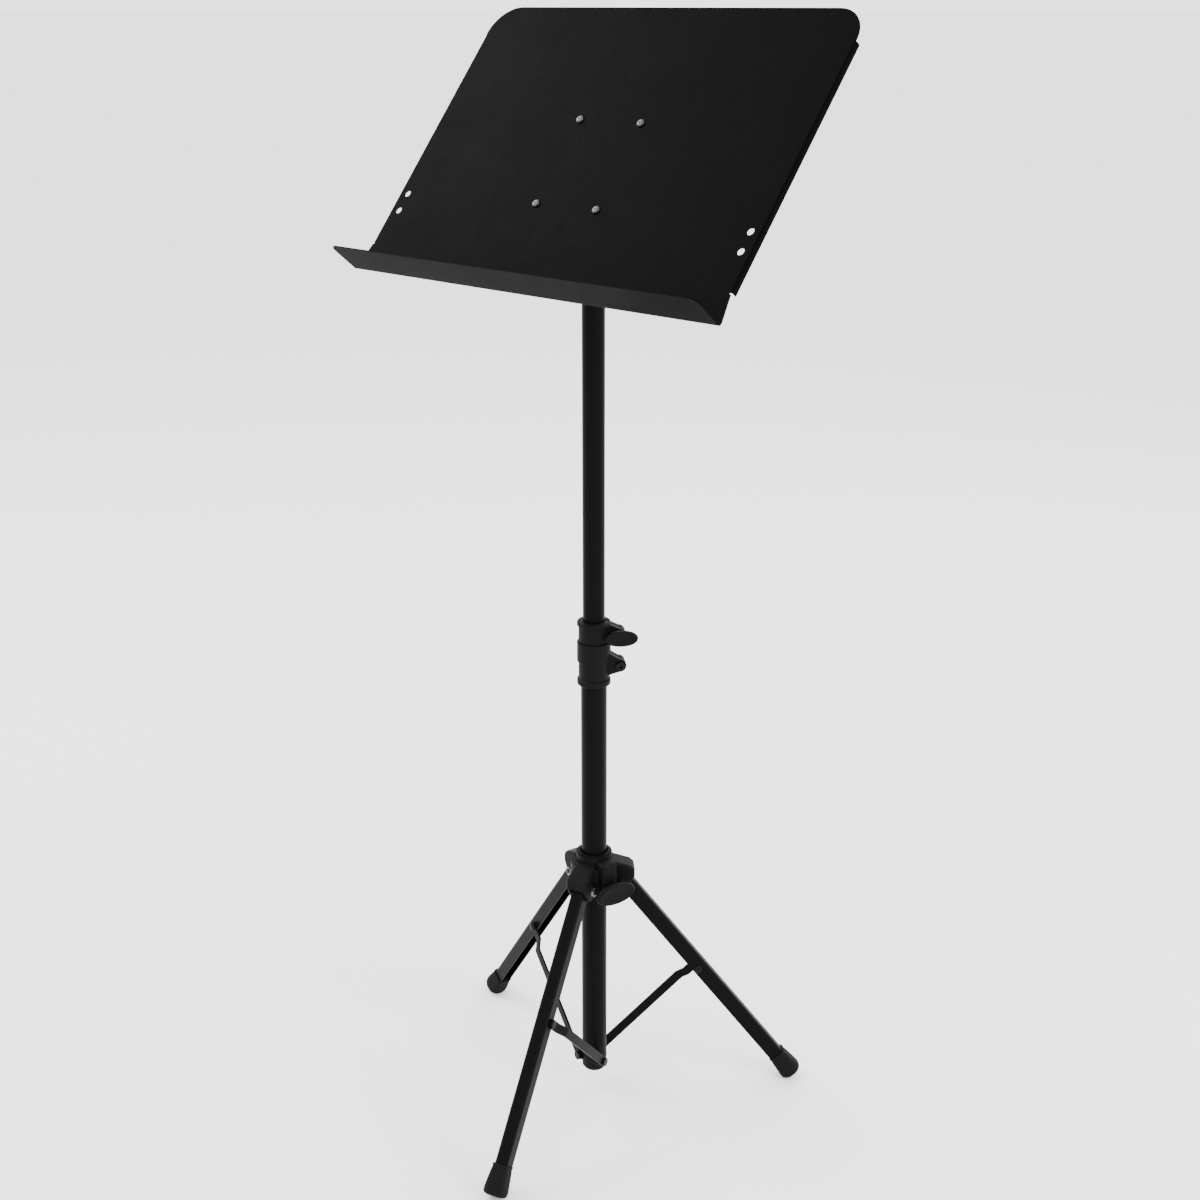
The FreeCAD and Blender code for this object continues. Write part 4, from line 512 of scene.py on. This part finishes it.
def finish_piece(name, mesh, body, material, nodes):
    """Links a mesh as a piece that rides on a body and stands for CAD nodes."""
    piece = bpy.data.objects.new(name, mesh)
    bpy.context.scene.collection.objects.link(piece)
    mesh.materials.clear()
    mesh.materials.append(material)
    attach(piece, body)
    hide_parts(*nodes)
    return piece


def smooth(mesh, crease):
    """Smooth shading with sharp edges where faces meet at more than the crease angle, in degrees."""
    limit = math.radians(crease)
    work = bmesh.new()
    work.from_mesh(mesh)
    for face in work.faces:
        face.smooth = True
    for edge in work.edges:
        edge.smooth = len(edge.link_faces) == 2 and edge.calc_face_angle(0.0) < limit
    work.to_mesh(mesh)
    work.free()


def applied(mesh, name, modifiers):
    """The mesh with its modifiers, as a plain mesh."""
    holder = bpy.data.objects.new(name + "_work", mesh)
    bpy.context.scene.collection.objects.link(holder)
    for kind, settings in modifiers:
        modifier = holder.modifiers.new(kind, kind)
        for key, value in settings.items():
            setattr(modifier, key, value)
    bpy.context.view_layer.update()
    done = bpy.data.meshes.new_from_object(holder.evaluated_get(bpy.context.evaluated_depsgraph_get()))
    bpy.data.objects.remove(holder)
    done.name = name
    return done


def softened(node, width, segments=2):
    """A copy of a node's mesh with flat faces joined and its sharp edges rounded."""
    sizes = bpy.context.scene.stand_sizes
    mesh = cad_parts[node].data.copy()
    work = bmesh.new()
    work.from_mesh(mesh)
    bmesh.ops.remove_doubles(work, verts=work.verts, dist=MERGE_DISTANCE)
    bmesh.ops.dissolve_limit(work, angle_limit=math.radians(FLAT_ANGLE), verts=work.verts, edges=work.edges)
    bmesh.ops.recalc_face_normals(work, faces=work.faces)
    for face in work.faces:
        face.smooth = True
    for edge in work.edges:
        edge.smooth = True
    work.to_mesh(mesh)
    work.free()
    rounding = {"width": width, "segments": segments, "limit_method": "ANGLE",
                "angle_limit": sizes.edge_angle, "miter_outer": "MITER_ARC", "use_clamp_overlap": True}
    shading = {"mode": "FACE_AREA", "weight": 100}
    return applied(mesh, node + "_soft", [("BEVEL", rounding), ("WEIGHTED_NORMAL", shading)])


def ring_mesh(name, rings, matrix):
    """A skin over rings of points, closed at both ends, placed by the matrix."""
    work = bmesh.new()
    rows = [[work.verts.new(matrix @ Vector(point)) for point in ring] for ring in rings]
    steps = len(rings[0])
    for low, high in zip(rows, rows[1:]):
        for index in range(steps):
            after = (index + 1) % steps
            work.faces.new((low[index], low[after], high[after], high[index]))
    work.faces.new(list(reversed(rows[0])))
    work.faces.new(rows[-1])
    bmesh.ops.recalc_face_normals(work, faces=work.faces)
    mesh = bpy.data.meshes.new(name)
    work.to_mesh(mesh)
    work.free()
    return mesh


def oval(half_x, half_y, power, y_middle, z, steps):
    """A ring of points on a superellipse of the given power."""
    points = []
    for index in range(steps):
        angle = math.tau * (index + 0.5) / steps
        across = math.cos(angle)
        along = math.sin(angle)
        points.append((half_x * math.copysign(abs(across) ** (2 / power), across),
                       y_middle + half_y * math.copysign(abs(along) ** (2 / power), along), z))
    return points


def foot_mesh(side):
    """A flared rubber boot with a bead at its mouth, a round sole edge and a flat to stand on."""
    sizes = bpy.context.scene.stand_sizes
    top_x = sizes.leg_width / 2 + sizes.foot_wall
    top_y = sizes.leg_depth / 2 + sizes.foot_wall
    rings = []
    for share, grow, inset in FOOT_MOUTH + FOOT_GROOVE + FOOT_FLARE + FOOT_SOLE:
        half_x = top_x + (sizes.foot_radius - top_x) * grow - inset
        half_y = top_y + (sizes.foot_radius - top_y) * grow - inset
        power = FOOT_MOUTH_POWER + (FOOT_SOLE_POWER - FOOT_MOUTH_POWER) * grow
        height = sizes.foot_length * share - sizes.foot_end
        rings.append(oval(half_x, half_y, power, -sizes.leg_offset, height, sizes.ring_steps))
    mesh = ring_mesh(f"foot_{side}_boot", rings, leg_place(side))
    work = bmesh.new()
    work.from_mesh(mesh)
    everything = list(work.verts) + list(work.edges) + list(work.faces)
    cut = bmesh.ops.bisect_plane(work, geom=everything, plane_co=(0, 0, 0), plane_no=(0, 0, -1),
                                 clear_outer=True)
    rim = [item for item in cut["geom_cut"] if isinstance(item, bmesh.types.BMEdge)]
    bmesh.ops.contextual_create(work, geom=rim)
    bmesh.ops.recalc_face_normals(work, faces=work.faces)
    work.to_mesh(mesh)
    work.free()
    smooth(mesh, FOOT_CREASE)
    return mesh


def knob_mesh(name, half_long, half_wide, matrix):
    """An oval wing with a soft rim and a shallow dish, on a round neck that flares into it."""
    sizes = bpy.context.scene.stand_sizes
    base = sizes.knob_neck
    neck = sizes.knob_neck_radius
    steps = sizes.ring_steps

    def round_ring(radius, z):
        return oval(radius, radius, ROUND_POWER, 0.0, z, steps)

    def wing_ring(inset, z):
        return oval(half_long - inset, half_wide - inset * KNOB_DRAWN_ACROSS, KNOB_POWER, 0.0, z, steps)

    rings = [round_ring(neck - KNOB_NECK_EDGE, 0.0), round_ring(neck, KNOB_NECK_EDGE),
             round_ring(neck, base - KNOB_NECK_FLARE), round_ring(neck + KNOB_NECK_FLARE, base)]
    for inset, share, added in KNOB_RIM:
        rings.append(wing_ring(inset, base + sizes.knob_thickness * share + added))
    dish = min(DISH_INSET, half_wide * DISH_INSET_SHARE)
    rings.append(wing_ring(dish, base + sizes.knob_thickness - DISH_DEPTH))
    mesh = ring_mesh(name, rings, matrix)
    smooth(mesh, KNOB_CREASE)
    return mesh


def turned_head(name, profile, radius, rise, steps):
    """A head turned about Z on the profile's shares, its underside at z = 0 and a short seat below."""
    places = [(profile[0][0] * radius, -HEAD_SEAT)]
    places += [(across * radius, up * rise) for across, up in profile]
    rings = [oval(across, across, ROUND_POWER, 0.0, up, steps) for across, up in places]
    mesh = ring_mesh(name, rings, Matrix())
    smooth(mesh, HEAD_CREASE)
    return mesh


def screw_mesh():
    """A pan head with a cross recess, its underside at z = 0."""
    sizes = bpy.context.scene.stand_sizes
    radius = sizes.screw_radius
    rise = sizes.screw_rise
    head = turned_head("screw_head", SCREW_PROFILE, radius, rise, sizes.ring_steps)
    cutter = bmesh.new()
    for turn in (0.0, math.pi / 2):
        for vert in bmesh.ops.create_cube(cutter, size=1.0)["verts"]:
            wide = 1.0 if vert.co.z > 0 else RECESS_BOTTOM
            vert.co = Vector((vert.co.x * radius * RECESS_LENGTH * wide,
                              vert.co.y * radius * RECESS_WIDTH * wide,
                              rise * (1.0 + vert.co.z * RECESS_DEPTH)))
            vert.co.rotate(Matrix.Rotation(turn + RECESS_TURN, 3, "Z"))
    tool_mesh = bpy.data.meshes.new("cross_tool")
    cutter.to_mesh(tool_mesh)
    cutter.free()
    tool = bpy.data.objects.new("cross_tool", tool_mesh)
    bpy.context.scene.collection.objects.link(tool)
    cut = {"object": tool, "operation": "DIFFERENCE", "solver": "EXACT", "use_self": True}
    done = applied(head, "screw_head_cut", [("BOOLEAN", cut)])
    bpy.data.objects.remove(tool)
    smooth(done, RECESS_CREASE)
    return done


def instance_tree(proto, material):
    """Geometry nodes that put a copy of one object on each point, turned by the point's own angles."""
    tree = bpy.data.node_groups.new("Copies on points", "GeometryNodeTree")
    tree.interface.new_socket("Geometry", in_out="INPUT", socket_type="NodeSocketGeometry")
    tree.interface.new_socket("Size", in_out="INPUT", socket_type="NodeSocketFloat").default_value = 1.0
    tree.interface.new_socket("Geometry", in_out="OUTPUT", socket_type="NodeSocketGeometry")
    start = tree.nodes.new("NodeGroupInput")
    end = tree.nodes.new("NodeGroupOutput")
    info = tree.nodes.new("GeometryNodeObjectInfo")
    info.inputs["Object"].default_value = proto
    angles = tree.nodes.new("GeometryNodeInputNamedAttribute")
    angles.data_type = "FLOAT_VECTOR"
    angles.inputs["Name"].default_value = "turn"
    copies = tree.nodes.new("GeometryNodeInstanceOnPoints")
    solid = tree.nodes.new("GeometryNodeRealizeInstances")
    paint = tree.nodes.new("GeometryNodeSetMaterial")
    paint.inputs["Material"].default_value = material
    tree.links.new(start.outputs["Geometry"], copies.inputs["Points"])
    tree.links.new(start.outputs["Size"], copies.inputs["Scale"])
    tree.links.new(info.outputs["Geometry"], copies.inputs["Instance"])
    tree.links.new(angles.outputs["Attribute"], copies.inputs["Rotation"])
    tree.links.new(copies.outputs["Instances"], solid.inputs["Geometry"])
    tree.links.new(solid.outputs["Geometry"], paint.inputs["Geometry"])
    tree.links.new(paint.outputs["Geometry"], end.inputs["Geometry"])
    return tree


def copies(name, proto_mesh, places, material, size=1.0):
    """One plain mesh holding a copy of the proto at each place."""
    proto = bpy.data.objects.new(name + "_proto", proto_mesh)
    bpy.context.scene.collection.objects.link(proto)
    points = bpy.data.meshes.new(name + "_points")
    points.from_pydata([place.to_translation() for place in places], [], [])
    turns = points.attributes.new("turn", "FLOAT_VECTOR", "POINT")
    for value, place in zip(turns.data, places):
        value.vector = place.to_euler()
    holder = bpy.data.objects.new(name + "_holder", points)
    bpy.context.scene.collection.objects.link(holder)
    modifier = holder.modifiers.new("Copies", "NODES")
    modifier.node_group = instance_tree(proto, material)
    sockets = {item.name: item.identifier for item in modifier.node_group.interface.items_tree
               if item.in_out == "INPUT"}
    modifier[sockets["Size"]] = size
    bpy.context.view_layer.update()
    mesh = bpy.data.meshes.new_from_object(holder.evaluated_get(bpy.context.evaluated_depsgraph_get()))
    mesh.name = name
    bpy.data.objects.remove(holder)
    bpy.data.objects.remove(proto)
    return mesh


def paint_node(node, material):
    """Gives a CAD node a better material through its object's slots."""
    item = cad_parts[node]
    for slot in item.material_slots:
        slot.link = "OBJECT"
        slot.material = material


# ---------------------------------------------------------------- operators

class STAND_OT_desk(bpy.types.Operator):
    """Makes the desk's sheet and its two cheeks, with the cut edges broken"""
    bl_idname = "stand.desk"
    bl_label = "Desk"

    def execute(self, context):
        sizes = context.scene.stand_sizes
        sheet = softened("desk_plate", sizes.sheet_edge)
        finish_piece("desk_sheet", sheet, "desk", desk_material(), ["desk_plate"])
        for side in ("left", "right"):
            cheek = softened(f"bracket_{side}", sizes.sheet_edge)
            finish_piece(f"cheek_{side}", cheek, "desk", tube_material(),
                         [f"bracket_{side}"])
        return {"FINISHED"}


class STAND_OT_screws(bpy.types.Operator):
    """Makes the four pan-head screws with a cross recess"""
    bl_idname = "stand.screws"
    bl_label = "Desk screws"

    def execute(self, context):
        sizes = context.scene.stand_sizes
        places = []
        for across in (-0.5, 0.5):
            for up in (-0.5, 0.5):
                places.append(desk_place() @ moved(across * sizes.screws_across, 0.0,
                                                   sizes.screw_height + up * sizes.screws_up)
                              @ turned("X", math.pi / 2) @ turned("Z", across + RECESS_TURN_UP * up))
        mesh = copies("desk_screw_heads", screw_mesh(), places, screw_material())
        finish_piece("desk_screw_heads", mesh, "desk", screw_material(), ["desk_screws"])
        return {"FINISHED"}


class STAND_OT_knobs(bpy.types.Operator):
    """Makes the three oval clamp knobs"""
    bl_idname = "stand.knobs"
    bl_label = "Knobs"

    def execute(self, context):
        sizes = context.scene.stand_sizes
        collar = (turned("Z", sizes.ear_azimuth)
                  @ moved(-sizes.ear_face - sizes.knob_gap, -sizes.ear_reach, sizes.clamp_height)
                  @ turned("Y", -math.pi / 2) @ turned("Z", math.pi / 2))
        hub = (turned("Z", sizes.lock_azimuth)
               @ moved(0, -sizes.lock_reach - sizes.knob_gap, sizes.lock_height)
               @ turned("X", math.pi / 2))
        tilt = (tilt_place() @ moved(sizes.cheek_face + sizes.knob_gap, 0, 0)
                @ turned("Y", math.pi / 2) @ turned("Z", math.pi / 2))
        for node, body, place, long, wide in (
                ("collar_knob", "height_clamp", collar, sizes.small_knob_long, sizes.small_knob_wide),
                ("hub_knob", "hub_clamp", hub, sizes.hub_knob_long, sizes.hub_knob_wide),
                ("tilt_knob", "tilt_clamp", tilt, sizes.small_knob_long, sizes.small_knob_wide)):
            mesh = knob_mesh(node + "_wing", long, wide, place)
            finish_piece(node + "_wing", mesh, body, plastic_material(), [node])
        return {"FINISHED"}


class STAND_OT_mouldings(bpy.types.Operator):
    """Makes the moulded hub, collar, base and tilt head, with rounded edges"""
    bl_idname = "stand.mouldings"
    bl_label = "Mouldings"

    def execute(self, context):
        sizes = context.scene.stand_sizes
        for node, body in MOULDINGS:
            mesh = softened(node, sizes.moulded_edge, segments=3)
            finish_piece(node + "_moulding", mesh, body, plastic_material(), [node])
        for node in PLASTIC_NODES:
            paint_node(node, plastic_material())
        return {"FINISHED"}


class STAND_OT_tubes(bpy.types.Operator):
    """Finishes the tubes of the mast and the three leg channels"""
    bl_idname = "stand.tubes"
    bl_label = "Tubes and legs"

    def execute(self, context):
        for node in TUBES:
            paint_node(node, tube_material())
        for side in AZIMUTHS:
            mesh = softened(f"leg_{side}", context.scene.stand_sizes.sheet_edge)
            finish_piece(f"leg_{side}_channel", mesh, f"{side}_leg", tube_material(),
                         [f"leg_{side}"])
        return {"FINISHED"}


class STAND_OT_struts(bpy.types.Operator):
    """Makes the three cranked flat struts"""
    bl_idname = "stand.struts"
    bl_label = "Struts"

    def execute(self, context):
        for side in AZIMUTHS:
            mesh = softened(f"strut_{side}", context.scene.stand_sizes.bar_edge)
            finish_piece(f"strut_{side}_bar", mesh, f"{side}_strut", tube_material(),
                         [f"strut_{side}"])
        return {"FINISHED"}


class STAND_OT_feet(bpy.types.Operator):
    """Makes the three flared rubber feet"""
    bl_idname = "stand.feet"
    bl_label = "Feet"

    def execute(self, context):
        for side in AZIMUTHS:
            finish_piece(f"foot_{side}_boot", foot_mesh(side), f"{side}_leg",
                         rubber_material(), [f"foot_{side}"])
        return {"FINISHED"}


class STAND_OT_rivets(bpy.types.Operator):
    """Makes the domed rivets between legs and struts"""
    bl_idname = "stand.rivets"
    bl_label = "Rivets"

    def execute(self, context):
        sizes = context.scene.stand_sizes
        for side in AZIMUTHS:
            pin = leg_place(side) @ moved(0, 0, -sizes.leg_link)
            reach = sizes.rivet_reach_front if side == "front" else sizes.rivet_reach_side
            places = [pin @ moved(-sizes.leg_width / 2, 0, 0) @ turned("Y", -math.pi / 2),
                      pin @ moved(reach, 0, 0) @ turned("Y", math.pi / 2)]
            dome = turned_head("rivet_dome", RIVET_PROFILE, sizes.rivet_radius, sizes.rivet_rise,
                               RIVET_STEPS)
            mesh = copies(f"rivet_{side}_heads", dome, places, pin_material())
            finish_piece(f"rivet_{side}_heads", mesh, f"{side}_leg", pin_material(),
                         [f"rivet_{side}"])
        return {"FINISHED"}


class STAND_OT_fasteners(bpy.types.Operator):
    """Finishes the remaining bolts, nuts and pins"""
    bl_idname = "stand.fasteners"
    bl_label = "Fasteners"

    def execute(self, context):
        for node in ZINC_NODES:
            paint_node(node, zinc_material())
        for node in DARK_NODES:
            paint_node(node, pin_material())
        return {"FINISHED"}


class STAND_OT_stage(bpy.types.Operator):
    """Makes the pale floor, the soft lights and the camera"""
    bl_idname = "stand.stage"
    bl_label = "Stage"

    def execute(self, context):
        scene = context.scene
        stage = scene.stand_stage
        self.add_floor(scene)
        self.add_world(scene, stage.world_level)
        for name, place, size in LIGHTS:
            self.add_light(scene, name, place, size, getattr(stage, name + "_power"))
        self.add_camera(scene, stage)
        return {"FINISHED"}

    def add_camera(self, scene, stage):
        data = bpy.data.cameras.new("camera")
        data.lens = stage.lens
        data.sensor_width = stage.sensor
        camera = bpy.data.objects.new("camera", data)
        away = stage.camera_distance
        camera.location = (away * math.sin(stage.camera_azimuth), -away * math.cos(stage.camera_azimuth),
                           stage.camera_height)
        camera.rotation_euler = (math.pi / 2 - stage.camera_pitch, 0,
                                 stage.camera_azimuth - stage.camera_turn)
        scene.collection.objects.link(camera)
        scene.camera = camera

    def add_floor(self, scene):
        work = bmesh.new()
        bmesh.ops.create_grid(work, x_segments=2, y_segments=2, size=FLOOR_HALF)
        mesh = bpy.data.meshes.new("floor")
        work.to_mesh(mesh)
        work.free()
        floor = bpy.data.objects.new("floor", mesh)
        scene.collection.objects.link(floor)
        material, tree, shader = new_material("studio_floor")
        marks = group_node(tree, handling_group(), Roughness=0.75, Spread=0.03)
        shade = tuple(scene.stand_colours.floor)
        dim = tuple(channel * FLOOR_DIMMER for channel in shade)
        slow = add(tree, "ShaderNodeTexNoise", Vector=object_place(tree), Scale=1.2)
        tree.links.new(mixed_colour(tree, slow.outputs["Fac"], shade, dim), shader.inputs["Base Color"])
        tree.links.new(marks.outputs["Roughness"], shader.inputs["Roughness"])
        mesh.materials.append(material)

    def add_world(self, scene, level):
        world = bpy.data.worlds.new("studio")
        world.use_nodes = True
        sky = world.node_tree.nodes["Background"]
        sky.inputs["Color"].default_value = (1.0, 1.0, 1.0, 1.0)
        sky.inputs["Strength"].default_value = level
        scene.world = world

    def add_light(self, scene, name, place, size, power):
        data = bpy.data.lights.new(name, "AREA")
        data.shape = "DISK"
        data.size = size
        data.energy = power
        light = bpy.data.objects.new(name, data)
        light.location = place
        aim = Vector(LIGHT_TARGET) - Vector(place)
        light.rotation_euler = aim.to_track_quat("-Z", "Y").to_euler()
        scene.collection.objects.link(light)


OPERATORS = (STAND_OT_desk, STAND_OT_screws, STAND_OT_knobs, STAND_OT_mouldings, STAND_OT_tubes,
             STAND_OT_struts, STAND_OT_feet, STAND_OT_rivets, STAND_OT_fasteners, STAND_OT_stage)


class STAND_PT_panel(bpy.types.Panel):
    """The sidebar panel with every step's button and the properties"""
    bl_idname = "STAND_PT_panel"
    bl_label = "Music stand"
    bl_space_type = "VIEW_3D"
    bl_region_type = "UI"
    bl_category = "Music stand"

    def draw(self, context):
        for operator in OPERATORS:
            self.layout.operator(operator.bl_idname)
        scene = context.scene
        for group in (scene.stand_sizes, scene.stand_colours, scene.stand_stage):
            box = self.layout.box()
            for name in group.bl_rna.properties.keys():
                if name not in ("rna_type", "name"):
                    box.prop(group, name)


CLASSES = (StandSizes, StandColours, StandStage, *OPERATORS, STAND_PT_panel)


def register():
    for item in CLASSES:
        bpy.utils.register_class(item)
    bpy.types.Scene.stand_sizes = bpy.props.PointerProperty(type=StandSizes)
    bpy.types.Scene.stand_colours = bpy.props.PointerProperty(type=StandColours)
    bpy.types.Scene.stand_stage = bpy.props.PointerProperty(type=StandStage)


def unregister():
    del bpy.types.Scene.stand_stage
    del bpy.types.Scene.stand_colours
    del bpy.types.Scene.stand_sizes
    for item in reversed(CLASSES):
        bpy.utils.unregister_class(item)


def main():
    register()
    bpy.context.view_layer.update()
    for operator in OPERATORS:
        prefix, name = operator.bl_idname.split(".")
        getattr(getattr(bpy.ops, prefix), name)()


if __name__ == "__main__":
    main()
